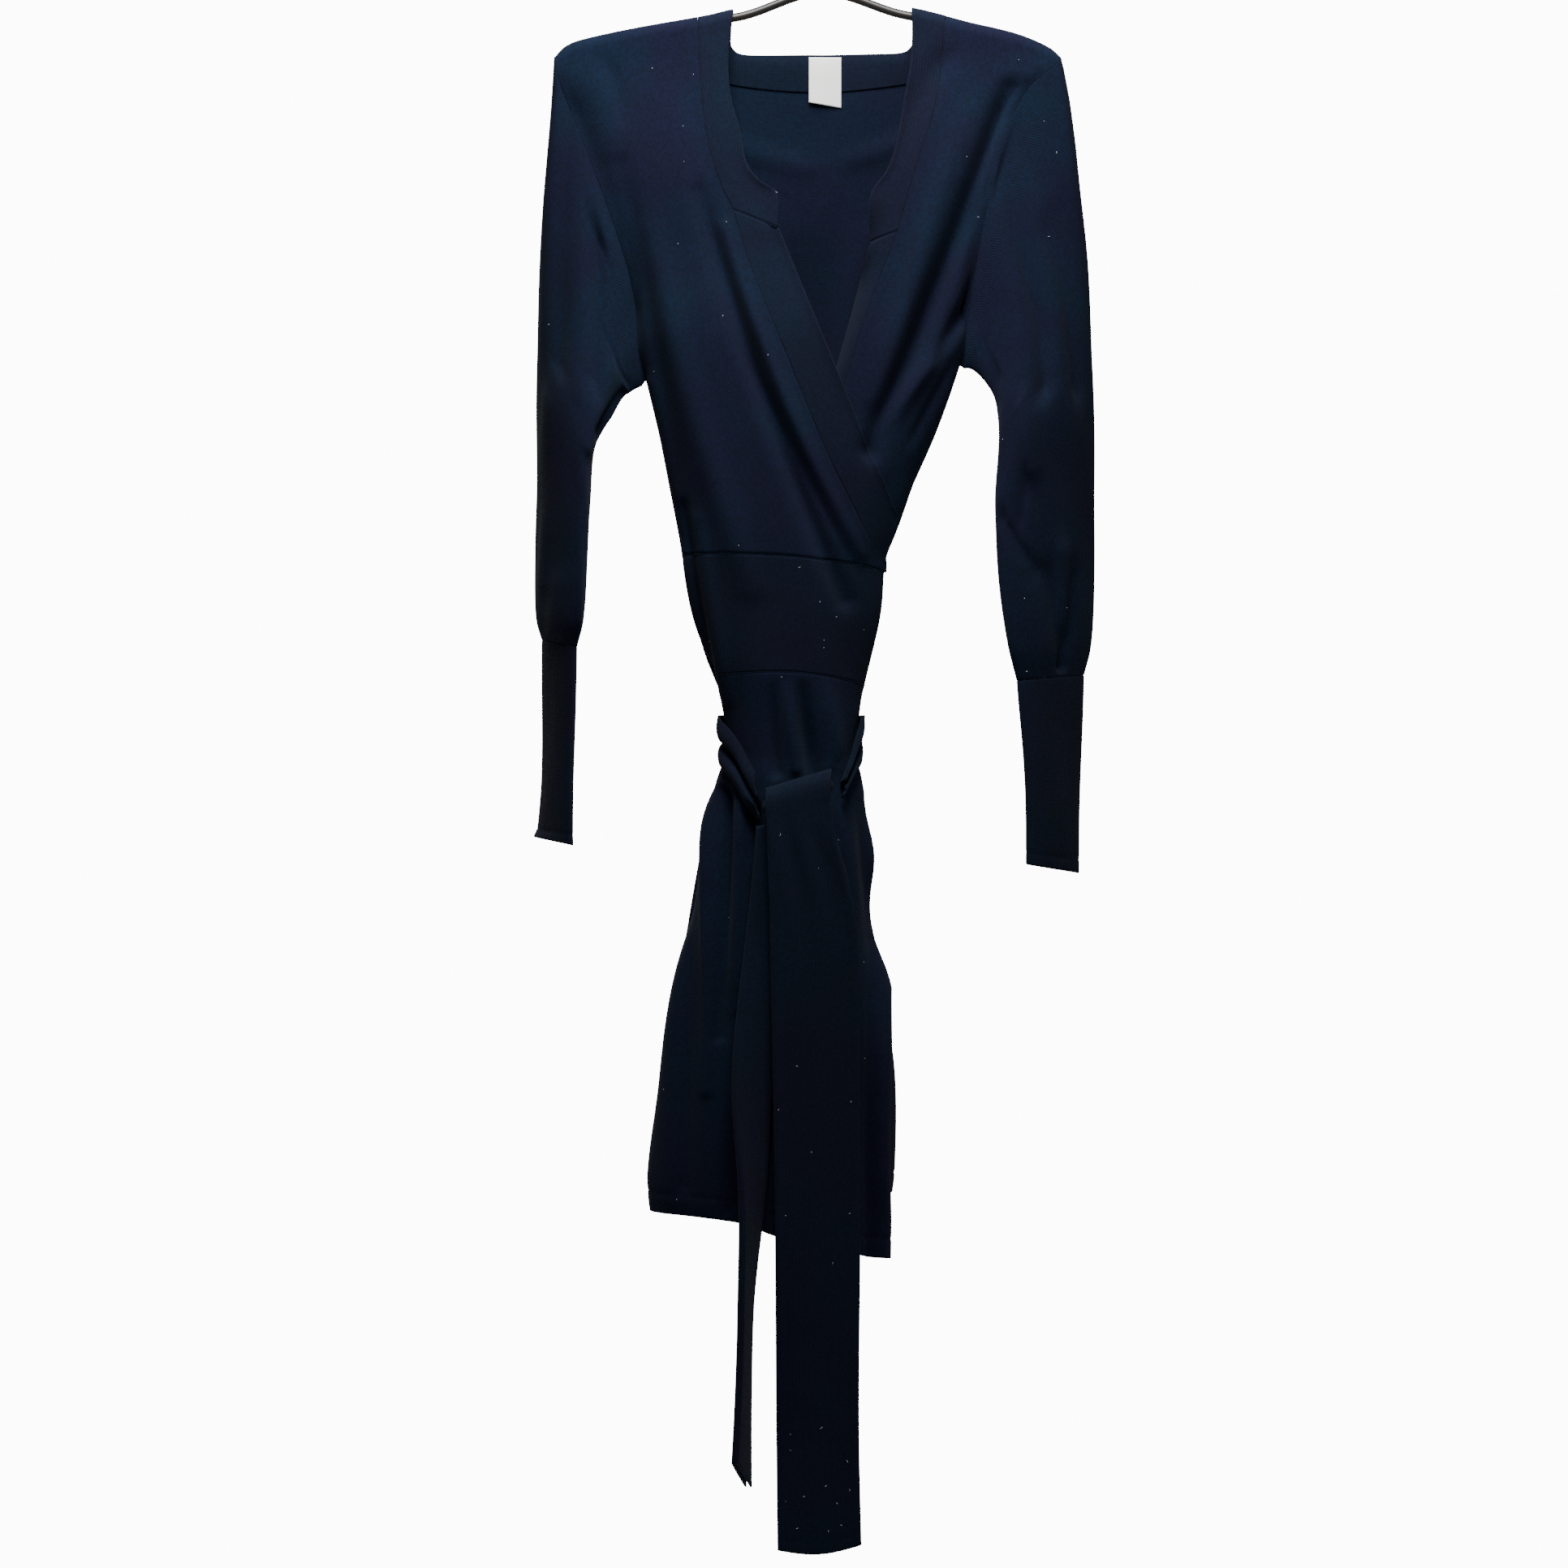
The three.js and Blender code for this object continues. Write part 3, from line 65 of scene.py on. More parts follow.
def aim(thing, start, end):
    """Puts a camera or lamp at start and turns it to look at end, both as place() arguments."""
    thing.location = place(*start)
    way = np.array(place(*end)) - np.array(place(*start))
    thing.rotation_euler = (np.arctan2(np.hypot(way[0], way[1]), -way[2]), 0,
                            np.arctan2(-way[0], way[1]))
    bpy.context.scene.collection.objects.link(thing)


lens = bpy.data.cameras.new("front_camera")
lens.sensor_width = 36.0
lens.lens = lens.sensor_width * VIEW_FAR / VIEW_WIDE
lens.clip_end = 50.0
camera = bpy.data.objects.new("front_camera", lens)
aim(camera, (VIEW_X, -VIEW_FAR, VIEW_DROP), (VIEW_X, 0, VIEW_DROP))
bpy.context.scene.camera = camera

LAMPS = {
    "key": dict(start=(-30, -450, -560), end=(0, 0, 250), wide=0.45, watts=25.0),
    "side": dict(start=(1500, -1100, -300), end=(0, 0, 400), wide=0.6, watts=5.0),
    "back": dict(start=(-600, 2600, -900), end=(0, 0, 400), wide=2.0, watts=40.0),
}
for name, lamp in LAMPS.items():
    data = bpy.data.lights.new(name, "AREA")
    data.size = lamp["wide"]
    data.energy = lamp["watts"]
    made = bpy.data.objects.new(name, data)
    made.visible_camera = False
    aim(made, lamp["start"], lamp["end"])

SKY, SKY_SEEN = 0.1, 12.0
room = bpy.data.worlds.new("white_room")
room.use_nodes = True
sky = room.node_tree.nodes["Background"]
sky.inputs["Color"].default_value = (1, 1, 1, 1)
# The room looks bright white, and yet gives little light: strength = seen * 12 + 0.1.
seen = room.node_tree.nodes.new("ShaderNodeLightPath")
strength = room.node_tree.nodes.new("ShaderNodeMath")
strength.operation = "MULTIPLY_ADD"
strength.inputs[1].default_value = SKY_SEEN
strength.inputs[2].default_value = SKY
room.node_tree.links.new(seen.outputs["Is Camera Ray"], strength.inputs[0])
room.node_tree.links.new(strength.outputs[0], sky.inputs["Strength"])
bpy.context.scene.world = room
print("camera lens, mm:", round(lens.lens, 1))

# %% [markdown]
# ## A helper for materials
# Every finish is a small tree of nodes. One function adds a node with its settings, and links
# or fills its sockets. Colours are written as the hex values that a screen shows, and one
# function turns them to the linear light values that the shader needs.


# %% Colours and nodes
def linear(hex_colour):
    """Screen colour to linear light: c / 12.92 if dark, else ((c + 0.055) / 1.055) ** 2.4."""
    screen = [int(hex_colour[i:i + 2], 16) / 255 for i in (0, 2, 4)]
    light = [c / 12.92 if c <= 0.04045 else ((c + 0.055) / 1.055) ** 2.4 for c in screen]
    return (*light, 1.0)


def add(tree, kind, sockets=(), **settings):
    """Adds one node. sockets maps an input to its value, or to the output that feeds it."""
    made = tree.nodes.new(kind)
    for name, value in settings.items():
        setattr(made, name, value)
    for key, value in dict(sockets).items():
        if isinstance(value, bpy.types.NodeSocket):
            tree.links.new(value, made.inputs[key])
        else:
            made.inputs[key].default_value = value
    return made.outputs[0]


def maths(tree, operation, *values, **settings):
    """A Math node of the given operation, fed with its values in order."""
    return add(tree, "ShaderNodeMath", enumerate(values), operation=operation, **settings)


def noise(tree, size, **sockets):
    """Noise in the object's own space, with features of about the given size."""
    here = tree.nodes.new("ShaderNodeTexCoord").outputs["Object"]
    return add(tree, "ShaderNodeTexNoise", {"Vector": here, "Scale": 1 / size, **sockets})


def blend(tree, share, low, high):
    """A colour between two. Of a Mix node's outputs, one for each kind, colour is the third."""
    return add(tree, "ShaderNodeMix", {0: share, 6: low, 7: high}, data_type="RGBA").node.outputs[2]


def cloth_place(tree):
    """The lengths of cloth across and down, which the piece's own map holds."""
    spot = add(tree, "ShaderNodeSeparateXYZ", {0: add(tree, "ShaderNodeUVMap", uv_map="cloth")})
    return spot, spot.node.outputs[1]


def emboss(tree, surface, height, strength, relief):
    """Tilts the surface as if the height stood out of it, up to relief in metres."""
    bump = add(tree, "ShaderNodeBump", {"Strength": strength, "Distance": relief, "Height": height})
    tree.links.new(bump, surface.inputs["Normal"])


def material(name, **shader):
    """An empty material with its shader's own sockets set. Returns it, its tree and shader."""
    made = bpy.data.materials.new(name)
    made.use_nodes = True
    surface = made.node_tree.nodes["Principled BSDF"]
    for key, value in shader.items():
        surface.inputs[key.replace("_", " ").title().replace("Ior", "IOR")].default_value = value
    return made, made.node_tree, surface


# %% [markdown]
# ## Navy jersey
# Jersey is knitted on one face: columns of small V stitches, soft and slightly fuzzy, which
# take light with no gloss. The dye is a very dark navy that leans to violet in some places and
# to teal in others. The stitch pattern follows each piece's own map, which is in metres of
# cloth, so that the columns run down the piece as they were knitted. The real stitches are
# about 1.3 mm wide, and they are drawn at 1.9 mm so that they show.

# %% Jersey and rib finishes
STITCH_WIDE, STITCH_TALL = 1.9 * MM, 1.5 * MM
RIB_WIDE = 2.3 * MM
FUZZ, FUZZ_HIGH = 0.7 * MM, 0.9
PATCH, PATCH_FROM, PATCH_TO = 95 * MM, 0.38, 0.62
SPECK, SPECK_FROM, SPECK_TO = 2.6 * MM, 0.3, 0.75
V_SLANT, V_HIGH, KNIT_BUMP = 0.6, 0.22, 0.55


def knit(name, violet, teal, deep, wide, tall, groove, relief):
    """A knitted cloth. a = distance from a column's edge (0) to its middle (1); the stitches are
    sin(2 pi (course + 0.6 a)), so each makes a V, and columns fall off as a ** groove. Painted
    shade darkens the stitches' low places, and random specks are darker too: colour = deep +
    (hue - deep) * (0.4 + 0.6 * speck * height), where deep is the colour of the painted shade
    and of the specks."""
    made, tree, surface = material(name, roughness=0.92, sheen_weight=0.05,
                                   sheen_roughness=0.5, sheen_tint=linear("a3abba"),
                                   specular_ior_level=0.12)
    across, down = cloth_place(tree)
    half = maths(tree, "PINGPONG", maths(tree, "MULTIPLY", across, 1 / wide), 0.5)
    inside = maths(tree, "MULTIPLY", half, 2.0)
    course = maths(tree, "MULTIPLY", down, 1 / tall)
    slant = maths(tree, "MULTIPLY_ADD", inside, V_SLANT, course)
    stitch = maths(tree, "SINE", maths(tree, "MULTIPLY", slant, 2 * np.pi))
    loops = maths(tree, "MULTIPLY_ADD", stitch, V_HIGH, maths(tree, "POWER", inside, groove))
    height = maths(tree, "MULTIPLY_ADD", noise(tree, FUZZ, Detail=3.0), FUZZ_HIGH, loops)
    emboss(tree, surface, height, KNIT_BUMP, relief)

    patch = noise(tree, PATCH, Detail=2.5, Roughness=0.6)
    swing = add(tree, "ShaderNodeMapRange", {0: patch, 1: PATCH_FROM, 2: PATCH_TO})
    speck = noise(tree, SPECK, Detail=2.0)
    dust = add(tree, "ShaderNodeMapRange", {0: speck, 1: SPECK_FROM, 2: SPECK_TO})
    # Painted shade: where a stitch is low, the colour moves towards the deep colour, as shade in the
    # stitches' hollows. The specks darken it at random.
    shade = maths(tree, "MULTIPLY_ADD", loops, 0.45, 0.35, use_clamp=True)
    lift = maths(tree, "MULTIPLY_ADD", maths(tree, "MULTIPLY", dust, shade), 0.6, 0.4,
                 use_clamp=True)
    hue = blend(tree, swing, linear(violet), linear(teal))
    tree.links.new(blend(tree, lift, linear(deep), hue), surface.inputs["Base Color"])
    return made


# The third colour of each knit is that of its painted stitch shade and its darker specks.
JERSEY = knit("navy_jersey", "10122d", "091b31", "04070f", STITCH_WIDE, STITCH_TALL,
              0.5, 0.35 * MM)
RIB = knit("navy_rib", "10122a", "0a192d", "05070e", RIB_WIDE, STITCH_TALL, 0.9, 0.45 * MM)
print("knits:", JERSEY.name, RIB.name)

# %% [markdown]
# ## The smaller finishes
# The label is a blank white woven ribbon with a fine crosswise rib. The hanger's bar is dark
# moulded plastic, slightly rough, and its hook is plated wire. Lint is pale cotton fibre.


# %% Ribbon, plastic, plated wire and lint
THREAD, THREAD_BUMP, THREAD_RELIEF = 0.5 * MM, 0.2, 0.05 * MM
LEAST_ROUGH, MOST_ROUGH = 0.8, 1.2


def ribbon():
    """Woven satin ribbon: fine crosswise threads, as a sine along its length."""
    made, tree, surface = material("white_ribbon", base_color=linear("fbfbf9"), roughness=0.5,
                                   sheen_weight=0.1)
    turn = maths(tree, "MULTIPLY", cloth_place(tree)[1], 2 * np.pi / THREAD)
    emboss(tree, surface, maths(tree, "SINE", turn), THREAD_BUMP, THREAD_RELIEF)
    return made


def moulded(name, colour, rough, grain, **more):
    """A hard finish: one colour, with a fine grain in its roughness from Object noise."""
    made, tree, surface = material(name, base_color=linear(colour), **more)
    spread = add(tree, "ShaderNodeMapRange",
                 {0: noise(tree, grain, Detail=3.0), 3: rough * LEAST_ROUGH, 4: rough * MOST_ROUGH})
    tree.links.new(spread, surface.inputs["Roughness"])
    return made


RIBBON = ribbon()
PLASTIC = moulded("dark_plastic", "191512", 0.42, 1.5 * MM)
WIRE = moulded("plated_wire", "c3c6ca", 0.18, 2 * MM, metallic=1.0)
LINT = moulded("pale_lint", "cfd3da", 0.9, 1 * MM)
print("finishes:", RIBBON.name, PLASTIC.name, WIRE.name, LINT.name)

# %% [markdown]
# ## Walls of cloth
# Cloth is a surface with a thickness. Each piece is worked out as a grid of points on its outer
# face. The inner face is the same grid moved in along the surface's normal, and between the two
# a rounded rim runs round the edge, so that seams show as soft grooves and hems look thick.


# %% Grids to meshes
def mesh_object(name, points, faces, uvs=None, finish=None):
    """Makes a smooth mesh from points in millimetres and a list of faces."""
    mesh = bpy.data.meshes.new(name)
    where = points * MM
    where[:, 2] -= HOOK_TO_NECK * MM
    mesh.from_pydata(where.tolist(), [], faces)
    if uvs is not None:
        layer = mesh.uv_layers.new(name="cloth")
        layer.data.foreach_set("uv", np.asarray(uvs, np.float32).ravel())
    mesh.shade_smooth()
    mesh.update()
    made = bpy.data.objects.new(name, mesh)
    bpy.context.scene.collection.objects.link(made)
    if finish:
        mesh.materials.append(finish)
    return made


def unit(vectors):
    return vectors / np.maximum(np.linalg.norm(vectors, axis=-1, keepdims=True), 1e-9)


def bell(distance, wide):
    """A bell curve: 1 at no distance, 1 / e at the half width."""
    return np.exp(-(distance / wide) ** 2)


def grid_cells(rows, columns, closed=True):
    """Each cell's four corners, as (row, column) pairs and as indices of the grid's points."""
    i, j = np.meshgrid(np.arange(rows - 1), np.arange(columns if closed else columns - 1),
                       indexing="ij")
    corners = [(i, j), (i, j + 1), (i + 1, j + 1), (i + 1, j)]
    return corners, np.stack([a * columns + b % columns for a, b in corners], -1).reshape(-1, 4)


def grid_normal(grid, out, closed):
    """The direction that a grid faces: the cross product of its two directions, times out."""
    along = np.roll(grid, -1, 1) - np.roll(grid, 1, 1) if closed else np.gradient(grid, axis=1)
    down = np.gradient(grid, axis=0)
    return unit(np.cross(along, down)) * out


def cloth_map(grid, closed):
    """Lengths of cloth, in metres: across from the middle column, and down from the top row."""
    wide = np.concatenate([grid, grid[:, :1]], 1) if closed else grid
    across = np.linalg.norm(np.diff(wide, axis=1), axis=-1)
    across = np.concatenate([np.zeros((len(grid), 1)), np.cumsum(across, 1)], 1)
    across -= across[:, across.shape[1] // 2, None]
    down = np.linalg.norm(np.diff(wide, axis=0), axis=-1)
    down = np.concatenate([np.zeros((1, wide.shape[1])), np.cumsum(down, 0)], 0)
    return np.stack([across, down], -1) * MM


RIM_SHORT, CELL_SHORT = 0.2, 0.6


def wall(name, grid, thick, out, finish, closed=False):
    """A wall of cloth from its outer grid. Rim points lie half way through the thickness, and
    the two faces stop short of them by a share of the thickness, which rounds the rim."""
    rows, columns = grid.shape[:2]
    normal = grid_normal(grid, out, closed)
    ids = np.arange(rows * columns).reshape(rows, columns)
    if closed:
        rims = [ids[0], ids[-1, ::-1]]
    else:
        rims = [np.concatenate([ids[0], ids[1:, -1], ids[-1, -2::-1], ids[-2:0:-1, 0]])]
    row, column = np.divmod(np.concatenate(rims), columns)
    near = np.clip(row, 1, rows - 2), column if closed else np.clip(column, 1, columns - 2)
    edge = grid[row, column]
    step = grid[near] - edge
    size = np.maximum(np.linalg.norm(step, axis=-1, keepdims=True), 1e-6)
    short = step / size * np.minimum(RIM_SHORT * thick, CELL_SHORT * size)
    outer, inner = grid.copy(), grid - normal * thick
    middle = edge - normal[row, column] * thick / 2
    outer[row, column] += short
    inner[row, column] += short
    points = np.concatenate([outer.reshape(-1, 3), inner.reshape(-1, 3), middle])

    corners, quads = grid_cells(rows, columns, closed)
    lengths = cloth_map(grid, closed)
    quad_uvs = np.stack([lengths[a, b] for a, b in corners], -2).reshape(-1, 4, 2)
    faces = [quads, quads[:, ::-1] + rows * columns]
    uvs = [quad_uvs, quad_uvs[:, ::-1]]
    start = 2 * rows * columns
    flat = lengths[:, :columns].reshape(-1, 2)
    for rim in rims:
        a, b = rim, np.roll(rim, -1)
        here = start + np.arange(len(rim))
        ahead = np.roll(here, -1)
        faces += [np.stack([b, a, here, ahead], -1),
                  np.stack([ahead, here, a + rows * columns, b + rows * columns], -1)]
        uvs += [flat[np.stack([b, a, a, b], -1)]] * 2
        start += len(rim)
    faces, uvs = np.concatenate(faces), np.concatenate(uvs)
    if out < 0:
        faces, uvs = faces[:, ::-1], uvs[:, ::-1]
    return mesh_object(name, points, faces.tolist(), uvs, finish)


PIECES = {}


def settle(piece, slot, *nodes):
    """Fixes a piece to the body, in place of its nodes. slot is not used."""
    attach(piece, "root")
    if nodes:
        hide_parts(*nodes)


def cloth(node, grid, thick, out, finish, slot, closed=False):
    """Makes one piece of cloth in place of its node, or of a tube's front and back nodes."""
    piece = wall(node + "_cloth", grid, thick, out, finish, closed)
    lengths = cloth_map(grid, closed)
    settle(piece, slot, *([node + "_front", node + "_back"] if closed else [node]))
    PIECES[node] = grid


# %% [markdown]
# ## The measures of the dress
# Short tables hold the sizes, in millimetres: how wide and deep the body is at each height, the
# shoulder line, the slanting edges of the wrap and the level seams. They are the same as the
# model's, so that the cloth lies where the solids are. A smooth curve runs through each table's
# rows.


# %% Tables and curves
def table(names, *rows):
    """A short table, as one array for each named column."""
    return dict(zip(names.split(), np.array(rows, float).T))


def look_up(rows, key, column, at):
    """The column's value where the key has the given value, on a cubic curve through the rows
    whose slope at each row is that of its two neighbours."""
    k, c = rows[key], rows[column]
    at = np.clip(at, k[0], k[-1])
    i = np.clip(np.searchsorted(k, at, side="right") - 1, 0, len(k) - 2)
    place_in = np.arange(len(k))
    before, after = np.maximum(place_in - 1, 0), np.minimum(place_in + 1, len(k) - 1)
    slope = (c[after] - c[before]) / (k[after] - k[before])
    span, rise = k[i + 1] - k[i], c[i + 1] - c[i]
    t = (at - k[i]) / span
    bend = span * (slope[i] * (1 - t) - slope[i + 1] * t) + rise * (2 * t - 1)
    return c[i] + rise * t + t * (1 - t) * bend


def smooth(low, high, at):
    """A soft step: 0 below low, 1 above high, and 3 t^2 - 2 t^3 between them."""
    t = np.clip((at - low) / (high - low), 0, 1)
    return t * t * (3 - 2 * t)


def mix(low, high, t):
    return low + (high - low) * t


CLOTH, DOUBLED, SEAM, NECK_GAP = 1.6, 2.2, 0.05, 0.2
OVER_LIFT, OVER_FROM, OVER_FULL, SIDE_FADE, BELT_AIR = 6.2, 170, 250, 0.14, 3.0
SHOULDER_ARCH, SHOULDER_FADE, WELL_BELOW = 9.0, 30.0, 72.0
SEAM_FADE, MOST_OPEN = 0.03, 0.95
TOP_CROWD, LOOK_UPS = 1.35, 6
LEFT_BAND_END, RIGHT_BAND_END = (152, 166), (168, 176)
UNDER_START = dict(waistband=-58, skirt=-48)
FREE_SIDE = dict(corner=0.88, skirt=0.94, start=380, end=500)

RINGS = table(
    "drop left right front back",
    (0, -198, 177, 9, 9), (38, -198, 177, 9, 9), (62, -192, 152, 11, 12),
    (100, -177, 134, 15, 17), (145, -160, 123, 19, 22), (196, -145, 115, 25, 28),
    (244, -138, 108, 31, 33), (281, -129, 97, 34, 36), (319, -120, 83, 36, 38),
    (355, -113, 67, 37, 39), (391, -106, 52, 38, 40), (409, -103, 45, 38, 41),
    (445, -96, 38.5, 37, 40), (481, -86, 30.5, 36, 38), (517, -72.5, 24, 35, 37),
    (553, -69, 20.5, 35, 37), (571, -73.5, 24, 37, 39), (625, -86.5, 34.5, 40, 43),
    (679, -96.5, 35, 42, 46), (733, -108, 45.5, 44, 49), (787, -117, 54, 46, 51),
    (859, -127, 54, 48, 53), (892, -125, 50, 48, 53), (932, -122, 47, 48, 53))
SHOULDER = table(
    "x drop", (-198, 38), (-190, 30), (-179, 25), (-139, 16), (-83, 6), (-66, 2), (0, -8),
    (70, 1.5), (107, 11), (143, 20), (166, 30), (177, 38))
ARMHOLE = {"left": dict(tip=38, under=277, tip_open=9, mid_open=40),
           "right": dict(tip=38, under=266, tip_open=9, mid_open=40)}
OVER_SEAM = table(
    "drop x", (0, -92), (53, -90), (103, -84), (137, -73.5), (152, -66), (193, -53),
    (260, -26), (332, 3), (403, 35), (422, 40))
OVER_EDGE = table("drop x", (165, -32), (272, 11), (330, 34), (358, 45), (390, 54), (422, 58))
UNDER_SEAM = table(
    "drop x", (0, 92), (68, 85), (119, 70), (169, 55), (214, 38), (247, 27), (277, 18),
    (330, 0), (422, -28))
UNDER_EDGE = table("drop x", (175, 36), (268, 10), (330, -12), (385, -36), (422, -52))
NECK_LEFT = table(
    "drop x", (0, -65.5), (41, -69), (68, -67), (91, -61), (118, -55), (131, -45),
    (138, -34), (168, -33))
NECK_RIGHT = table(
    "drop x", (0, 66.5), (37, 66), (68, 61), (106, 54), (124, 47), (140, 36), (178, 35))
NECK_BACK = table(
    "along seam_x seam_fall edge_x edge_fall",
    (0, -92, 0, -65.5, 0), (0.1, -91.5, 19, -67, 14), (0.22, -85, 40, -66, 28),
    (0.36, -64, 56, -51, 36), (0.5, 0, 71, 0, 43), (0.64, 64, 56, 51, 36),
    (0.78, 85, 40, 66, 28), (0.9, 91.5, 19, 67, 14), (1, 92, 0, 66.5, 0))
WAIST_TOP = table("across drop", (0, 406), (0.45, 407), (0.75, 414), (1, 423))
WAIST_BOTTOM = table("across drop", (0, 498), (0.35, 493), (0.55, 493), (0.8, 499), (1, 503))
OVER_HEM = table("across drop", (0, 888), (0.4, 895), (0.53, 907), (0.8, 922), (1, 925))
INNER_HEM = table("across drop", (0, 888), (0.5, 880), (1, 876))
SKIRT_EDGE = table("drop x", (500, 60), (650, 52), (715, 43), (790, 45), (932, 43))
print("body rings:", len(RINGS["drop"]))

# %% [markdown]
# ## The folds
# A fold is a soft line on the body. Its row gives three places that it runs through, its half
# width and how far it stands out at each of the three; less than 0 is a trough. Its section is
# a bell curve. No two are alike in length, depth or spacing, because cloth that hangs from a
# hanger is pulled towards its shoulder tips and its belt. The photograph shows those of the
# front, and the back gets similar ones.

# %% Folds of the front and back
FOLD = "x0 x1 x2 drop0 drop1 drop2 wide out0 out1 out2"
FRONT_FOLDS = table(
    FOLD,
    (-90, -50, 14, 140, 268, 440, 7, -2, -8, -4), (-72, -34, 24, 165, 275, 405, 6, 2, 5, 2),
    (-126, -96, -52, 170, 290, 430, 11, 1, 5, 2), (-148, -122, -98, 120, 250, 400, 9, -2, -5, -2),
    (138, 88, 36, 62, 200, 330, 8, -4, -11, -8), (106, 72, 40, 80, 190, 290, 10, 1, 5, 2),
    (112, 66, 36, 229, 282, 330, 7, 2, 6, 2), (116, 98, 79, 208, 240, 268, 6, -5, -8, -1),
    (100, 74, 58, 32, 64, 120, 10, -1, -3, 0), (-101, -84, -75, 370, 470, 514, 4, -2, -7, -4),
    (-88, -73, -66, 380, 470, 512, 5, 1, 3, 2), (60, 44, 30, 360, 420, 500, 9, 1, 3.5, 1),
    (-16, -12, -8, 498, 535, 568, 5, 0, -7, -7), (-36, -35, -33, 498, 535, 566, 4, 0, -5, -5),
    (-25, -23, -20, 500, 535, 564, 4, 0, 4, 3), (0, 4, 4, 498, 535, 560, 6, 0, 4, 2),
    (-76, -80, -82, 576, 640, 800, 4, 3, 6, 2), (-67, -67, -74, 580, 630, 760, 4, -6, -7, -3),
    (-58, -59, -62, 588, 630, 740, 4, 2, 5, 1), (-50, -46, -42, 595, 640, 800, 5, -5, -7, -2),
    (-96, -104, -110, 640, 740, 880, 12, 1, 4, 4), (-90, -94, -98, 620, 720, 870, 5, -1, -4, -2),
    (42, 41, 40, 690, 790, 925, 5, 1, 5, 4), (33, 32, 31, 690, 800, 920, 4, -1, -4, -3),
    (-165, -152, -150, 34, 60, 92, 7, -0.5, -2, 0), (-108, -96, -82, 60, 150, 240, 12, 0, 2, 0),
    (-62, -20, 24, 250, 330, 420, 4, -0.5, -2.5, -0.5), (140, 122, 104, 74, 120, 165, 4, 1, 2.5, 0),
    (150, 134, 120, 84, 112, 150, 3, -1, -2.5, 0), (98, 80, 62, 262, 296, 330, 4, -0.5, -2.5, 0),
    (24, 30, 32, 590, 640, 700, 6, -2, -6, -1), (34, 36, 38, 590, 625, 680, 5, 1, 4, 0),
    (-60, -58, -62, 720, 800, 885, 9, 0, -2.5, -3), (-78, -84, -88, 730, 810, 885, 8, 0, 1.6, 2))
BACK_FOLDS = table(
    FOLD,
    (-140, -110, -66, 120, 280, 520, 13, 0, -6, -6), (-96, -78, -50, 150, 300, 525, 13, 1, 6, 5),
    (-58, -50, -34, 170, 320, 525, 12, -1, -7, -6), (-18, -22, -20, 180, 330, 525, 12, 1, 6, 5),
    (30, 8, -6, 170, 330, 525, 12, -1, -7, -6), (74, 36, 8, 150, 310, 525, 11, 1, 6, 4),
    (110, 66, 21, 120, 290, 520, 11, 0, -6, -4), (-64, -84, -98, 560, 690, 885, 13, 5, 8, 8),
    (-50, -62, -72, 560, 690, 885, 11, -5, -8, -8), (-34, -40, -44, 560, 690, 885, 12, 4, 8, 9),
    (-18, -18, -18, 560, 690, 885, 11, -5, -8, -8), (-4, 2, 6, 560, 690, 885, 11, 4, 7, 8),
    (12, 24, 32, 560, 690, 885, 10, -4, -7, -7),
    (-170, -140, -118, 60, 140, 240, 8, -1, -2.5, 0), (150, 118, 100, 62, 140, 220, 8, -1, -3, 0),
    (-120, -60, -10, 78, 104, 118, 9, 0, -1.5, -1), (100, 60, 20, 70, 98, 112, 8, 0, -1.6, -1),
    (-128, -96, -70, 300, 380, 460, 5, 0, -2, 0), (86, 60, 40, 290, 360, 430, 4, 0, 2, 0),
    (-56, -40, -22, 470, 500, 520, 4, -1, 2, 1), (20, 10, 0, 470, 500, 520, 4, 1, -2, -1))
FOLD_STEPS = 10


def through(rows, name, i, t):
    """The parabola through a fold's three values, for t from 0 to 1."""
    low, middle, high = (rows[name + str(k)][i] for k in range(3))
    return low * (1 - t) * (1 - 2 * t) + 4 * middle * t * (1 - t) + high * t * (2 * t - 1)


def fold_out(folds, x, drop):
    """Sum over the folds of out * exp(-(distance / wide)^2), from the nearest point of each."""
    total = np.zeros(np.broadcast(x, drop).shape)
    for i in range(len(folds["wide"])):
        nearest = np.full(total.shape, np.inf)
        place_on = np.zeros(total.shape)
        for k in range(FOLD_STEPS):
            t0, t1 = k / FOLD_STEPS, (k + 1) / FOLD_STEPS
            x0, d0 = through(folds, "x", i, t0), through(folds, "drop", i, t0)
            ux, ud = through(folds, "x", i, t1) - x0, through(folds, "drop", i, t1) - d0
            t = np.clip(((x - x0) * ux + (drop - d0) * ud) / (ux * ux + ud * ud), 0, 1)
            gap = np.hypot(x - x0 - ux * t, drop - d0 - ud * t)
            place_on = np.where(gap < nearest, (k + t) / FOLD_STEPS, place_on)
            nearest = np.minimum(gap, nearest)
        total += through(folds, "out", i, place_on) * np.exp(-(nearest / folds["wide"][i]) ** 2)
    return total


def slack(x, drop):
    """The unevenness of hanging cloth: three slanting waves of under half a millimetre."""
    return (0.35 * np.sin(x / 13 + drop / 31) + 0.3 * np.sin(x / 7.3 - drop / 43 + 1)
            + 0.25 * np.sin(x / 19 - drop / 17 + 2))


print("folds:", len(FRONT_FOLDS["wide"]), "front,", len(BACK_FOLDS["wide"]), "back")

# %% [markdown]
# ## The body's form
# At each height the body is a flattened ring. Its front and back halves are parts of an
# ellipse that start and end at the side seams, or at the armholes' edges higher up. The ring
# closes in an arch over the shoulder seam. Folds and layers push the cloth out along the
# ring's normal.


# %% The body as a function
def shoulder_drop(x):
    return look_up(SHOULDER, "x", "drop", x)


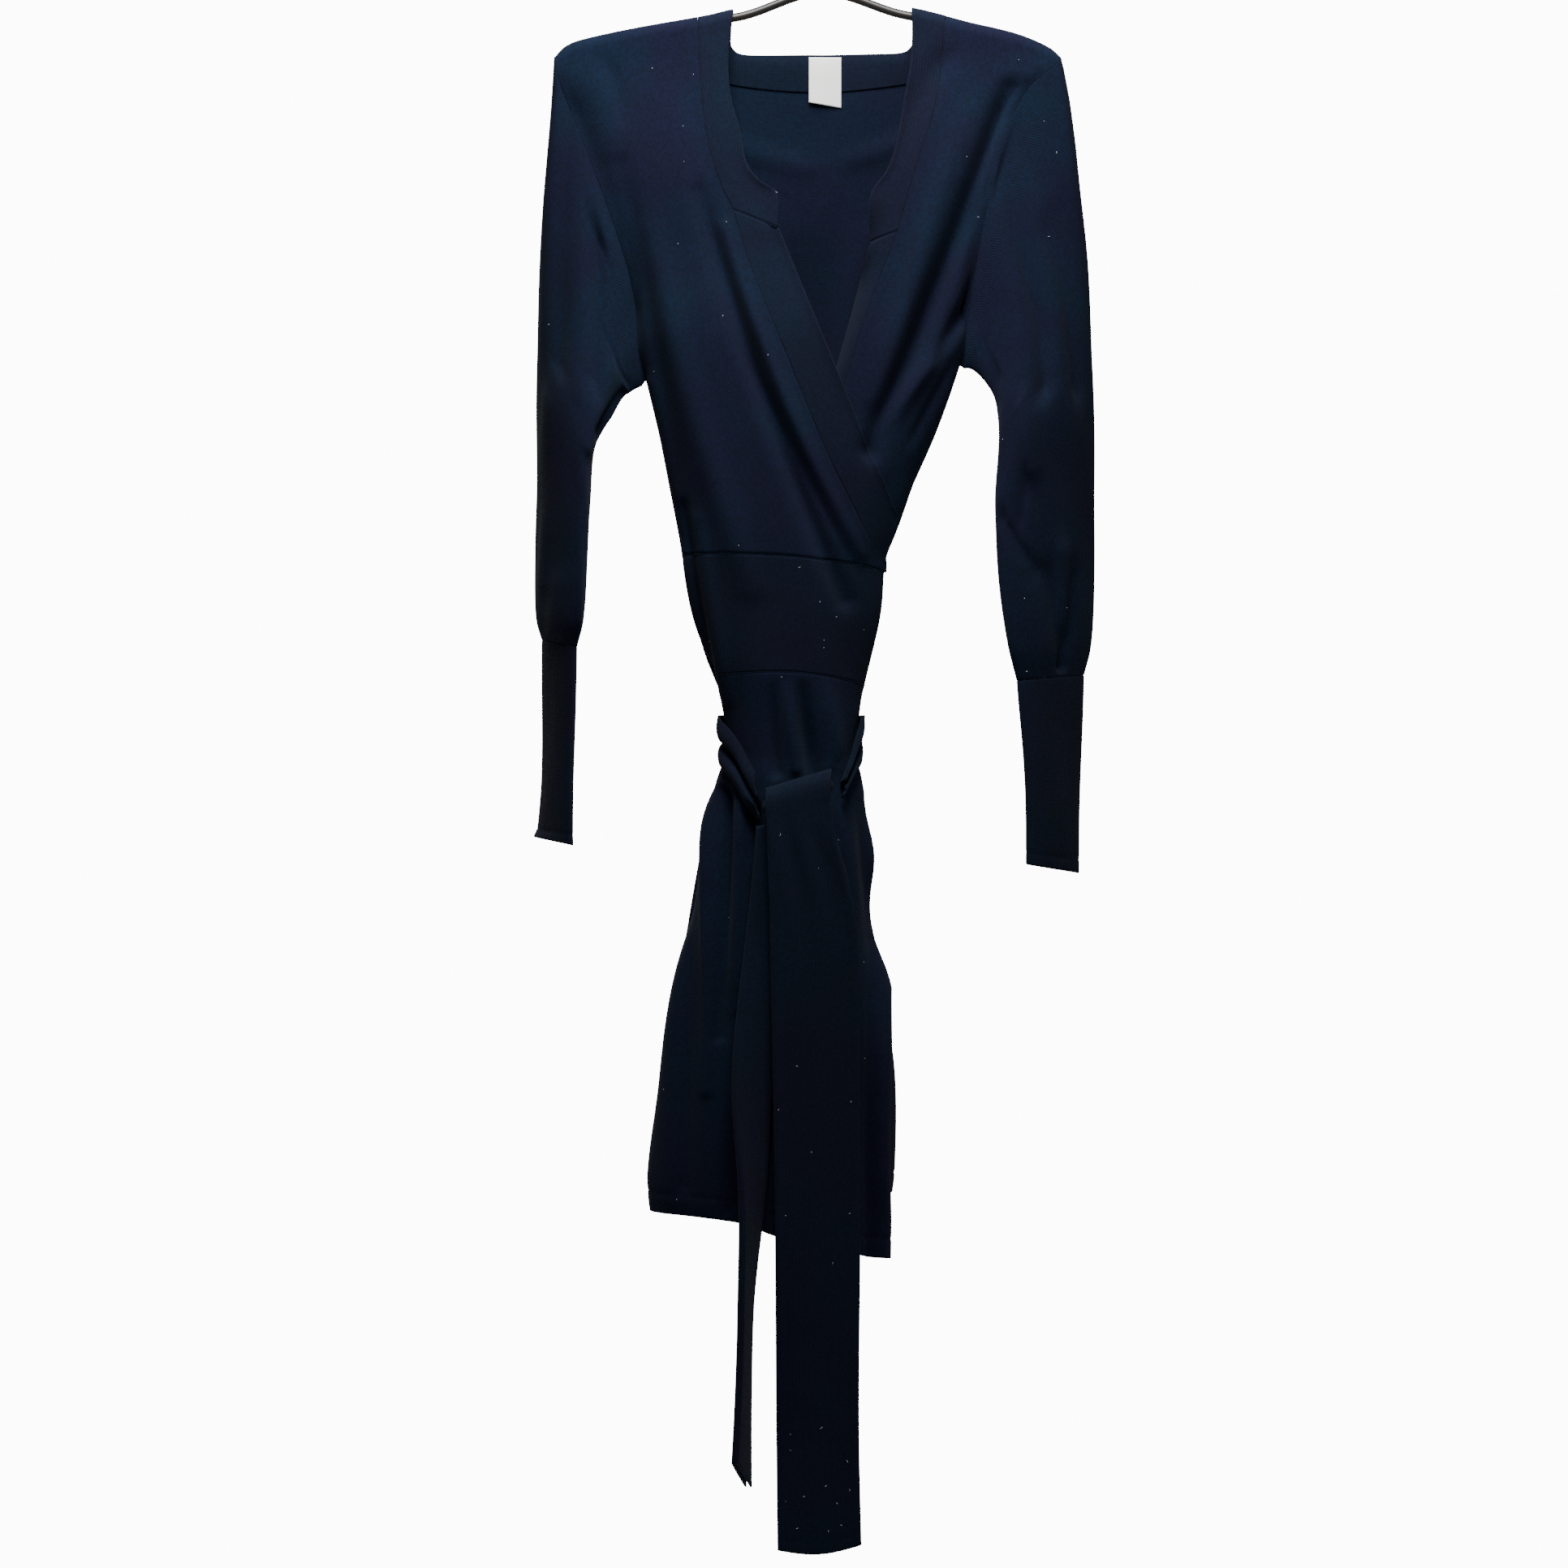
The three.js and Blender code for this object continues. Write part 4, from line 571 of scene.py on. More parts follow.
def armhole_open(hole, drop):
    """Half the gap between an armhole's edges: tip * sqrt(1 - h) + mid * h * (1 - h)."""
    h = (drop - hole["tip"]) / (hole["under"] - hole["tip"])
    inside = np.clip(h, 0, 1)
    opened = hole["tip_open"] * np.sqrt(1 - inside) + hole["mid_open"] * inside * (1 - inside)
    return np.where(h >= 1, 0, opened)


def ring_at(side, drop):
    """The ring's ends, its depth, and the angles at which it starts and ends."""
    deep = look_up(RINGS, "drop", "front" if side < 0 else "back", drop)
    start, end = (np.arcsin(np.minimum(armhole_open(ARMHOLE[s], drop) / deep, MOST_OPEN))
                  for s in ("left", "right"))
    left, right = (look_up(RINGS, "drop", s, drop) for s in ("left", "right"))
    return left, right, deep, start, np.pi - end


def x_at(side, across, drop):
    """The x at a place across the ring: x runs with the cosine of the angle."""
    left, right, _, start, end = ring_at(side, drop)
    angle = start + (end - start) * across
    return left + (right - left) * (np.cos(start) - np.cos(angle)) / (np.cos(start) - np.cos(end))


def across_at(side, x, drop):
    left, right, _, start, end = ring_at(side, drop)
    share = np.clip((x - left) / (right - left), 0, 1)
    angle = np.arccos(np.cos(start) - share * (np.cos(start) - np.cos(end)))
    return (angle - start) / (end - start)


def body(side, across, drop, fall, lift):
    """A point of the body's cloth. side is -1 for the front, across runs from the left side
    seam to the right one, fall is the height below the shoulder seam, lift the layer's height.
    y = side * deep * sin(angle) * arch, pushed out along the ellipse's normal."""
    across, drop, fall = np.broadcast_arrays(across, drop, fall)
    left, right, deep, start, end = ring_at(side, drop)
    angle = start + (end - start) * across
    x = x_at(side, across, drop)
    arch = np.sqrt(1 - (1 - np.clip(fall / SHOULDER_ARCH, 0, 1)) ** 2)
    wide = (right - left) / (np.cos(start) - np.cos(end))
    normal = unit(np.stack([-deep * np.cos(angle), side * wide * np.sin(angle)], -1))
    sides = smooth(0, SEAM_FADE, across) * smooth(0, SEAM_FADE, 1 - across)
    folds = fold_out(FRONT_FOLDS if side < 0 else BACK_FOLDS, x, drop) + slack(x, drop)
    push = lift + folds * sides * smooth(0, SHOULDER_FADE, fall)
    y = side * deep * np.sin(angle) * arch + normal[..., 1] * push
    y = side * np.maximum(side * y, SEAM)
    return np.stack([x + normal[..., 0] * push, y, -drop], -1)


def over_lift(across, drop):
    """The over-front's height above the under-front, none at its side seam and at the neck."""
    return OVER_LIFT * smooth(OVER_FROM, OVER_FULL, drop) * smooth(0, SIDE_FADE, across)


def edge(rows, shift=0.0):
    return lambda drop: across_at(-1, look_up(rows, "drop", "x", drop) + shift, drop)


def free_side(drop):
    """How far round the ring the over-front reaches: it wraps further below the waistband."""
    return mix(FREE_SIDE["corner"], FREE_SIDE["skirt"],
               smooth(FREE_SIDE["start"], FREE_SIDE["end"], drop))


def seam_drop(rows, across_for):
    """The drop where a column meets a level seam, found by looking it up time and again."""
    drop = rows["drop"][0] + 0 * across_for(rows["drop"][0])
    for _ in range(LOOK_UPS):
        drop = look_up(rows, "across", "drop", across_for(drop))
    return drop


def steps(columns, rows, down=1.0):
    """A grid of places: across from 0 to 1, and down as an even run to a power."""
    return np.meshgrid(np.linspace(0, 1, columns + 1), np.linspace(0, 1, rows + 1) ** down)


def shoulder_panel(size, left, right, bottom, lift, bend=None):
    """A panel between two slanting edges that hangs from the shoulder seam. A power above 1
    puts its first rows close together, over the shoulder's arch."""
    u, v = steps(*size, down=TOP_CROWD)

    def across(drop):
        return mix(left(drop), right(drop), u)

    top = shoulder_drop(x_at(-1, across(0.0), 0.0))
    fall = (bottom(u, across) - top) * v
    drop = top + fall
    grid = body(-1, across(drop), drop, fall, lift(across(drop), drop))
    if bend is not None:
        grid[..., 1] += bend(u, drop)
    return grid


def level_panel(size, side, left, right, top, bottom, lift, bend=None):
    """A panel between two level seams, well below the shoulder."""
    u, v = steps(*size)

    def across(drop):
        return mix(left(drop), right(drop), u)

    high = top(across, u)
    drop = high + (bottom(across) - high) * v
    grid = body(side, across(drop), drop, WELL_BELOW, lift(across(drop), drop, v))
    if bend is not None:
        grid[..., 1] += bend(u, drop)
    return grid


def flat_lift(*_):
    return 0.0


def over(across, drop, _=None):
    return over_lift(across, drop)


def zero(drop):
    return 0.0 * drop


def one(drop):
    return 0.0 * drop + 1.0


# %% [markdown]
# ## Bodice
# The bodice has two fronts, each with a band on its slanting edge, a neck band in three lengths
# and a back. The panels hang from the shoulder seam, which a curve over the hanger's bar gives.
# Next to the armholes the cloth dips a little, as a set-in sleeve's seam does.

# %% Fronts and their bands
DIP = dict(deep=7.5, wide=0.05, below=24, end=250)
LIP = dict(high=1.4, wide=0.16, wrap_high=1.1, wrap_wide=0.12)


def armhole_dip(across, drop, left, right):
    """How far the seam of a set-in sleeve sinks: a bell curve beside each armhole."""
    between = smooth(DIP["below"] + 20, DIP["below"] + 60, drop) * (
        1 - smooth(DIP["end"] - 30, DIP["end"] + 10, drop))
    beside = left * bell(across, DIP["wide"]) + right * bell(1 - across, DIP["wide"])
    return -DIP["deep"] * between * beside


def waist_seam(u, across):
    return seam_drop(WAIST_TOP, across) - SEAM


over_grid = shoulder_panel(
    (96, 170), zero, edge(OVER_SEAM, -NECK_GAP), waist_seam,
    lambda a, d: over_lift(a, d) + armhole_dip(a, d, 1, 0))
under_grid = shoulder_panel(
    (90, 170), edge(UNDER_SEAM, NECK_GAP), one, waist_seam,
    lambda a, d: armhole_dip(a, d, 0, 1))
neck_left_grid = shoulder_panel(
    (18, 90), edge(OVER_SEAM, SEAM), edge(NECK_LEFT),
    lambda u, _: mix(*LEFT_BAND_END, u) - NECK_GAP, over_lift,
    lambda u, d: -LIP["high"] * bell(1 - u, LIP["wide"]) * smooth(60, 140, d))
neck_right_grid = shoulder_panel(
    (18, 90), edge(NECK_RIGHT), edge(UNDER_SEAM, -SEAM),
    lambda u, _: mix(*RIGHT_BAND_END, 1 - u) - NECK_GAP, flat_lift,
    lambda u, d: 8 * smooth(142, 176, d) * (1 - u) ** 2
    - LIP["high"] * bell(u, LIP["wide"]) * (1 - smooth(120, 150, d)))
wrap_over_grid = level_panel(
    (26, 120), -1, edge(OVER_SEAM, SEAM), lambda d: np.minimum(edge(OVER_EDGE)(d), free_side(d)),
    lambda across, u: mix(*LEFT_BAND_END, u) + SEAM, lambda across: waist_seam(0, across), over,
    lambda u, d: -LIP["wrap_high"] * bell(1 - u, LIP["wrap_wide"]))
wrap_under_grid = level_panel(
    (26, 120), -1, edge(UNDER_EDGE), edge(UNDER_SEAM, -SEAM),
    lambda across, u: mix(*RIGHT_BAND_END, 1 - u) + SEAM, lambda across: waist_seam(0, across),
    flat_lift,
    lambda u, d: 12 * (1 - u) ** 2 * smooth(178, 215, d) * (1 - smooth(250, 285, d)))

cloth("bodice_front_over", over_grid, CLOTH, -1, JERSEY, "navy_knit")
cloth("bodice_front_under", under_grid, CLOTH, -1, JERSEY, "navy_knit")
cloth("neck_band_left", neck_left_grid, DOUBLED, -1, RIB, "navy_rib")
cloth("neck_band_right", neck_right_grid, DOUBLED, -1, RIB, "navy_rib")
cloth("wrap_band_over", wrap_over_grid, CLOTH, -1, RIB, "navy_rib")
cloth("wrap_band_under", wrap_under_grid, CLOTH, -1, RIB, "navy_rib")

# %% [markdown]
# ## Back of the bodice
# The back's top edge runs along one shoulder, down round the neck band's seam and out along the
# other shoulder. So its columns start at different heights, and below the neck they spread out
# until they fill the body's width.

# %% Back, and the neck band behind the neck
BACK_LEFT, BACK_RIGHT = 7 / 26, 6 / 26
BACK_SPREAD = 0.8


def back_panel(columns, rows):
    """Columns left and right of the neck fan out from the shoulder seam. Those between start on
    the neck band's seam and move to their even places as (fall / full) ** 0.8."""
    u, v = steps(columns, rows, down=TOP_CROWD)
    along = np.clip((u - BACK_LEFT) / (1 - BACK_LEFT - BACK_RIGHT), 0, 1)
    seam_x = look_up(NECK_BACK, "along", "seam_x", along) * (1 + 2 * SEAM / 92)
    middle = (u > BACK_LEFT) & (u < 1 - BACK_RIGHT)
    neck = across_at(1, seam_x, 0.0)
    outside = np.where(u <= BACK_LEFT, neck * u / BACK_LEFT,
                       1 - (1 - neck) * (1 - u) / BACK_RIGHT)
    fall = np.where(middle, look_up(NECK_BACK, "along", "seam_fall", along) + SEAM, 0.0)
    top = np.where(middle, shoulder_drop(seam_x) + fall, shoulder_drop(x_at(1, outside, 0.0)))
    full = look_up(WAIST_TOP, "across", "drop", u) - SEAM - top
    drop = top + full * v
    below = x_at(1, np.clip(u, BACK_LEFT, 1 - BACK_RIGHT), drop)
    across = across_at(1, mix(seam_x, below, v ** BACK_SPREAD), drop)
    across = np.where(u <= BACK_LEFT, across * u / BACK_LEFT, across)
    across = np.where(u >= 1 - BACK_RIGHT, 1 - (1 - across) * (1 - u) / BACK_RIGHT, across)
    return body(1, across, drop, fall + full * v, armhole_dip(across, drop, 1, 1))


def neck_band_back(columns, rows):
    """Straight across from the band's edge to its seam; columns stand closer at both ends."""
    u, v = steps(columns, rows)
    along = 0.5 - 0.5 * np.cos(np.pi * u)
    x, fall = (mix(look_up(NECK_BACK, "along", "edge_" + name, along),
                   look_up(NECK_BACK, "along", "seam_" + name, along), v)
               for name in ("x", "fall"))
    drop = shoulder_drop(x) + fall
    return body(1, across_at(1, x, drop), drop, fall, 0.9 * bell(v, 0.15))


cloth("bodice_back", back_panel(150, 190), CLOTH, 1, JERSEY, "navy_knit")
cloth("neck_band_back", neck_band_back(170, 18), DOUBLED, 1, RIB, "navy_rib")

# %% [markdown]
# ## Waistband and skirt
# Waistband and skirt are made alike, in three pieces each: a back, an under-front and an
# over-front that ends in a free edge at the right. A groove 15 mm above each hem is where the
# hem's allowance ends behind the cloth.

# %% Waistband and skirt pieces
HEM_GROOVE = dict(above=15.0, wide=1.2, deep=0.7)


def hem_groove(bottom):
    """A lift that dips in a bell curve at a fixed height above the hem."""
    def lift(across, drop, _=None):
        rest = look_up(bottom, "across", "drop", across) - drop - HEM_GROOVE["above"]
        return -HEM_GROOVE["deep"] * bell(rest, HEM_GROOVE["wide"])
    return lift


def below(rows):
    return lambda across, u=None: seam_drop(rows, across) + SEAM


def above(rows):
    return lambda across: seam_drop(rows, across) - SEAM


def skirt_edge(drop):
    return np.minimum(edge(SKIRT_EDGE)(drop), free_side(drop))


def at_x(x):
    return lambda drop: across_at(-1, x, drop)


def over_hem_lift(across, drop, _=None):
    return over_lift(across, drop) + hem_groove(OVER_HEM)(across, drop)


band = dict(top=below(WAIST_TOP), bottom=above(WAIST_BOTTOM))
waist_back = level_panel((76, 46), 1, zero, one, lift=flat_lift, **band)
waist_over = level_panel((76, 46), -1, zero, free_side, lift=over, **band)
waist_under = level_panel((50, 46), -1, at_x(UNDER_START["waistband"]), one, lift=flat_lift,
                          **band)
skirt_top = below(WAIST_BOTTOM)
skirt_back = level_panel((90, 180), 1, zero, one, skirt_top, above(INNER_HEM),
                         hem_groove(INNER_HEM))
skirt_over = level_panel((90, 200), -1, zero, skirt_edge, skirt_top, above(OVER_HEM),
                         over_hem_lift)
skirt_under = level_panel((50, 180), -1, at_x(UNDER_START["skirt"]), one, skirt_top,
                          above(INNER_HEM), hem_groove(INNER_HEM))
cloth("waistband_back", waist_back, CLOTH, 1, RIB, "navy_rib")
cloth("waistband_over", waist_over, CLOTH, -1, RIB, "navy_rib")
cloth("waistband_under", waist_under, CLOTH, -1, RIB, "navy_rib")
cloth("skirt_back", skirt_back, CLOTH, 1, JERSEY, "navy_knit")
cloth("skirt_over", skirt_over, CLOTH, -1, JERSEY, "navy_knit")
cloth("skirt_under", skirt_under, CLOTH, -1, JERSEY, "navy_knit")

# %% [markdown]
# ## Sleeves and cuffs
# A sleeve is a tube. Each ring of it is a flattened, slanting oval, from the armhole's own loop
# down to the cuff. The right cap is gathered, and its pleats run down from the shoulder; the
# left one hangs smooth, with a soft web of folds at the underarm. A fold's row gives its place
# round the ring (0 outer, 0.25 front, 0.5 inner) and along the sleeve.

# %% Sleeve tables
SLEEVE = "at out_x out_drop in_x in_drop deep turn keep"
LEFT_SLEEVE = table(
    SLEEVE,
    (0, -198, 38, -131, 277, 16, 0, 1), (0.1, -201, 82, -140, 281, 19, 3, 0.75),
    (0.2, -206, 137, -147, 288, 22, 8, 0.5), (0.3, -209, 187, -155, 301, 25, 14, 0.3),
    (0.4, -211, 237, -162, 313, 28, 20, 0.1), (0.5, -212, 285, -168, 331, 29, 25, 0),
    (0.64, -212, 342, -170, 366, 30, 30, 0), (0.78, -213, 396, -172, 404, 29, 32, 0),
    (0.92, -213, 449, -175, 454, 27, 31, 0), (1, -208, 468, -180, 474, 20, 25, 0))
RIGHT_SLEEVE = table(
    SLEEVE,
    (0, 177, 38, 103, 266, 16, 0, 1), (0.1, 186, 88, 112, 266, 18, 3, 0.75),
    (0.2, 192, 139, 121, 275, 19, 7, 0.5), (0.3, 197, 187, 129, 288, 20, 12, 0.3),
    (0.4, 200, 238, 131, 306, 21, 17, 0.1), (0.5, 202, 289, 130, 330, 21, 21, 0),
    (0.64, 203, 350, 127, 370, 20, 26, 0), (0.78, 203, 412, 129, 418, 19, 30, 0),
    (0.92, 201, 470, 136, 472, 18, 29, 0), (1, 195, 494, 143, 499, 14, 24, 0))
CUFF = "at out_x out_drop in_x in_drop deep turn"
LEFT_CUFF = table(CUFF, (0, -208, 468.3, -180, 474.3, 20, 25), (0.5, -208, 553, -182, 553, 18, 24),
                  (0.9, -211, 605, -183, 609, 18, 24), (1, -214, 614, -183, 620, 18, 24))
RIGHT_CUFF = table(CUFF, (0, 195, 494.3, 143, 499.3, 14, 24), (0.4, 193, 553, 148, 556, 13, 24),
                   (1, 191, 641, 150, 634, 13, 23))
SLEEVE_FOLD = "round0 round1 along0 along1 wide out"
LEFT_FOLDS = table(
    SLEEVE_FOLD, (0.1, 0.2, 0.05, 0.4, 0.05, -5), (0.36, 0.4, 0.22, 0.5, 0.04, 4),
    (0.47, 0.45, 0.2, 0.42, 0.035, -6), (0.8, 0.72, 0.1, 0.6, 0.05, -4),
    (0.25, 0.25, 0.86, 0.97, 0.06, 2), (0.24, 0.34, 0.1, 0.32, 0.03, -7),
    (0.45, 0.34, 0.14, 0.2, 0.03, -3), (0.3, 0.33, 0.45, 0.8, 0.05, -1.5),
    (0.15, 0.13, 0.5, 0.85, 0.05, 1.5), (0.9, 0.86, 0.1, 0.4, 0.03, -2.5))
RIGHT_FOLDS = table(
    SLEEVE_FOLD, (0.05, 0.06, 0.02, 0.1, 0.014, 3), (0.1, 0.115, 0.02, 0.17, 0.018, 4.5),
    (0.135, 0.14, 0.02, 0.1, 0.013, -2.5), (0.18, 0.26, 0.03, 0.42, 0.038, -8),
    (0.94, 0.93, 0.03, 0.22, 0.018, -4), (0.89, 0.87, 0.03, 0.2, 0.018, 3),
    (0.133, 0.125, 0.2, 0.46, 0.03, -5), (0.33, 0.3, 0.42, 0.58, 0.028, 5),
    (0.42, 0.3, 0.68, 0.78, 0.03, -4), (0.25, 0.2, 0.8, 0.97, 0.026, -3),
    (0.15, 0.2, 0.8, 0.97, 0.026, -3), (0.2, 0.2, 0.76, 0.87, 0.022, 2.5),
    (0.74, 0.66, 0.2, 0.8, 0.05, -4), (0.32, 0.34, 0.6, 0.68, 0.02, -3),
    (0.075, 0.08, 0.02, 0.07, 0.01, -1.8), (0.02, 0.02, 0.02, 0.06, 0.012, 1.5),
    (0.4, 0.42, 0.12, 0.26, 0.025, -4), (0.8, 0.78, 0.05, 0.3, 0.03, -2.5))
SLEEVE_BULGE = 2.6
ALLOWANCE, ALLOWANCE_IN = 3.5, 0.82


# %% Sleeves and cuffs
def oval(rows, at, t):
    """A flattened, slanting ring: its middle plus (half width, turn, half slant) * cos, and
    its half depth * sin towards the front."""
    out_x, out_drop, in_x, in_drop, deep, turn = (
        look_up(rows, "at", name, at) for name in CUFF.split()[1:])
    c, s = np.cos(2 * np.pi * t), np.sin(2 * np.pi * t)
    return np.stack([(out_x + in_x) / 2 + (out_x - in_x) / 2 * c, turn * c - deep * s,
                     -(out_drop + in_drop) / 2 - (out_drop - in_drop) / 2 * c], -1)


def armhole_loop(which, across, t):
    """The armhole's edge on the body, down its front half and back up behind."""
    hole = ARMHOLE[which]
    fall = (hole["under"] - hole["tip"]) * (1 - np.cos(2 * np.pi * t)) / 2
    drop = hole["tip"] + fall
    dips = armhole_dip(float(across), drop, 1 - across, across)
    front, behind = (body(side, float(across), drop, fall, dips) for side in (-1, 1))
    return np.where((t < 0.5)[..., None], front, behind)


def sleeve(rows, folds, which, across, size):
    """A sleeve's grid: its ring, plus what is kept of the armhole's own shape, plus folds.
    Columns crowd at the top as t - 0.45 sin(2 pi t) / (2 pi)."""
    t, v = np.meshgrid(np.arange(size[0]) / size[0], np.linspace(0, 1, size[1] + 1) ** 1.15)
    t = t - 0.45 * np.sin(2 * np.pi * t) / (2 * np.pi)
    ring = oval(rows, v, t)
    own = armhole_loop(which, across, t) - oval(rows, 0 * v, t)
    middle = (oval(rows, v, 0 * t) + oval(rows, v, 0 * t + 0.5)) / 2
    push = SLEEVE_BULGE * smooth(0, 0.05, v) * (1 - smooth(0.3, 0.6, v)) * np.sin(np.pi * t) ** 2
    push += 0.35 * np.sin(25 * v + 9 * np.sin(2 * np.pi * t)) * smooth(0.05, 0.2, v)
    for i in range(len(folds["wide"])):
        low, high = folds["along0"][i], folds["along1"][i]
        around = mix(folds["round0"][i], folds["round1"][i], np.clip((v - low) / (high - low), 0, 1))
        beyond = np.maximum(np.maximum(low - v, v - high), 0) / 0.03
        push += folds["out"][i] * np.exp(-((t - around) / folds["wide"][i]) ** 2 - beyond ** 2)
    push *= smooth(0, 0.02, v) * smooth(0, 0.03, 1 - v)
    keep = look_up(rows, "at", "keep", v)[..., None]
    grid = ring + own * keep + unit(ring - middle) * push[..., None]
    hidden = grid[0].copy()
    hidden[:, 0] += ALLOWANCE * (1 - 2 * across)
    hidden[:, 1] *= ALLOWANCE_IN
    return np.concatenate([hidden[None], grid])


def cuff(rows, size):
    """A cuff's grid: the same ovals, with a shallow bell-shaped groove above its end. One more
    row at the top is the seam's allowance, which reaches up inside the sleeve."""
    t, v = np.meshgrid(np.arange(size[0]) / size[0], np.linspace(0, 1, size[1] + 1))
    ring = oval(rows, v, t)
    middle = (oval(rows, v, 0 * t) + oval(rows, v, 0 * t + 0.5)) / 2
    push = -0.5 * np.exp(-((v - 0.93) / 0.01) ** 2) + 0.5 * np.sin(7 * v + 3 * np.sin(2 * np.pi * t))
    push *= smooth(0, 0.05, v)
    grid = ring + unit(ring - middle) * push[..., None]
    hidden = mix(middle[0], grid[0], ALLOWANCE_IN) + [0, 0, ALLOWANCE]
    return np.concatenate([hidden[None], grid])


sleeve_left = sleeve(LEFT_SLEEVE, LEFT_FOLDS, "left", 0, (120, 170))
sleeve_right = sleeve(RIGHT_SLEEVE, RIGHT_FOLDS, "right", 1, (130, 180))
cuff_left, cuff_right = cuff(LEFT_CUFF, (70, 70)), cuff(RIGHT_CUFF, (70, 70))
cloth("sleeve_left", sleeve_left, CLOTH, -1, JERSEY, "navy_knit", closed=True)
cloth("sleeve_right", sleeve_right, CLOTH, 1, JERSEY, "navy_knit", closed=True)
cloth("cuff_left", cuff_left, CLOTH, -1, RIB, "navy_rib", closed=True)
cloth("cuff_right", cuff_right, CLOTH, 1, RIB, "navy_rib", closed=True)

# %% [markdown]
# ## Tie belt
# The belt is a flat knitted tube, 64 mm wide. Round the waist it is folded lengthwise into two
# leaves, with a crease between them, and its two ends cross in a half knot. One end comes over
# the knot and falls in front, broad and flat. The other hangs below it, folded edge to edge, and
# turns until it shows its edge alone.

# %% Belt round the waist
BELT_BACK = dict(top=524, bottom=557)
BELT_LEFT = table("x top bottom", (-69, 524, 557), (-58, 538, 577), (-51, 551, 594),
                  (-45, 566, 606))
BELT_RIGHT = table("x top bottom", (9.5, 562, 586), (15, 541, 570), (20.5, 524, 557))
CREASE = dict(at=0.56, wide=0.07, deep=3.2, swell=3.6)
CLOSE = 0.8


def leaves(v):
    """Two rounded leaves: each swells as a half sine, and a bell-shaped crease parts them."""
    at = CREASE["at"]
    part = np.where(v < at, v / at, (v - at) / (1 - at))
    return 0.8 * (CREASE["swell"] * np.sin(np.pi * part) - CREASE["deep"] * bell(v - at, CREASE["wide"]))


def belt_lift(across, v):
    """The belt lies close to the body at its sides, and stands off it elsewhere."""
    away = smooth(0, SIDE_FADE, across) * smooth(0, SIDE_FADE, 1 - across)
    return DOUBLED + mix(CLOSE, BELT_AIR, away) + away * (leaves(v) - 0.9 * smooth(0.56, 0.62, v))


def belt_front_lift(across, drop, v):
    return over_lift(across, drop) + belt_lift(across, v)


def belt_back_lift(across, drop, v):
    return OVER_LIFT * smooth(1 - SIDE_FADE, 1, across) + belt_lift(across, v)


def belt_edge(rows, column):
    def find(across, _=None):
        drop = BELT_BACK["top"] + 0 * across(float(BELT_BACK["top"]))
        for _round in range(LOOK_UPS):
            drop = look_up(rows, "x", column, x_at(-1, across(drop), drop))
        return drop
    return find


belt_left = level_panel((40, 34), -1, zero, at_x(-45), belt_edge(BELT_LEFT, "top"),
                        belt_edge(BELT_LEFT, "bottom"), belt_front_lift)
belt_right = level_panel((36, 34), -1, at_x(9.5), one, belt_edge(BELT_RIGHT, "top"),
                         belt_edge(BELT_RIGHT, "bottom"), belt_front_lift)
belt_back = level_panel((90, 30), 1, zero, one, lambda a, u: BELT_BACK["top"] + 0 * u,
                        lambda a: BELT_BACK["bottom"], belt_back_lift)
cloth("belt_back", belt_back, DOUBLED, 1, RIB, "navy_rib")
cloth("belt_left", belt_left, DOUBLED, -1, RIB, "navy_rib")
cloth("belt_right", belt_right, DOUBLED, -1, RIB, "navy_rib")

# %% Knot
KNOT = dict(x=-18, y=-53.8, drop=584, half_wide=26, half_deep=9.5, half_tall=11, slope=0.3)


def knot(columns, rows):
    """A rolled bundle along a slanting line: a squared oval whose radius falls off towards its
    ends, with ridges that wind round it, as cos(5 angle + 2.5 along)."""
    angle, along = np.meshgrid(2 * np.pi * np.arange(columns) / columns,
                               np.linspace(-1, 1, rows + 1))
    along = np.sin(along * np.pi / 2 * 0.985)
    radius = (1 - np.abs(along) ** 3.2) ** (1 / 2.2)
    radius *= 1 - 0.05 * (1 + np.cos(5 * angle + 2.5 * along))
    c, s = np.cos(angle), np.sin(angle)
    x = KNOT["x"] + KNOT["half_wide"] * along
    y = KNOT["y"] - KNOT["half_deep"] * np.sign(c) * np.abs(c) ** 0.8 * radius
    z = -KNOT["drop"] + KNOT["slope"] * KNOT["half_wide"] * along + (
        KNOT["half_tall"] * np.sign(s) * np.abs(s) ** 0.8 * radius)
    return np.stack([x, y, z], -1)


def closed_roll(name, grid, finish, out):
    """A closed body from rings of points, with a fan of triangles at each end."""
    rows, columns = grid.shape[:2]
    ring, ahead = np.arange(columns), np.roll(np.arange(columns), -1)
    tip, last = rows * columns, (rows - 1) * columns
    faces = grid_cells(rows, columns)[1].tolist()
    faces += np.stack([ahead, ring, 0 * ring + tip], -1).tolist()
    faces += np.stack([last + ring, last + ahead, 0 * ring + tip + 1], -1).tolist()
    if out < 0:
        faces = [face[::-1] for face in faces]
    points = np.concatenate([grid.reshape(-1, 3), [grid[0].mean(0), grid[-1].mean(0)]])
    lengths = cloth_map(grid, True)[:, :columns].reshape(-1, 2)
    lengths = np.concatenate([lengths, lengths[[0, -1]]])
    uvs = np.concatenate([lengths[face] for face in faces])
    return mesh_object(name, points, faces, uvs, finish)


knot_roll = closed_roll("belt_knot_roll", knot(64, 60), RIB, -1)
settle(knot_roll, "navy_rib", "belt_knot")
print("knot faces:", len(knot_roll.data.polygons))

# %% [markdown]
# ### The two tails
# The broad tail starts behind the knot, rolls over its top and widens as it falls. Its two side
# edges are folds of the tube, so they are rounded and stand a little proud. The narrow tail is
# one strip bent round a lengthwise fold.

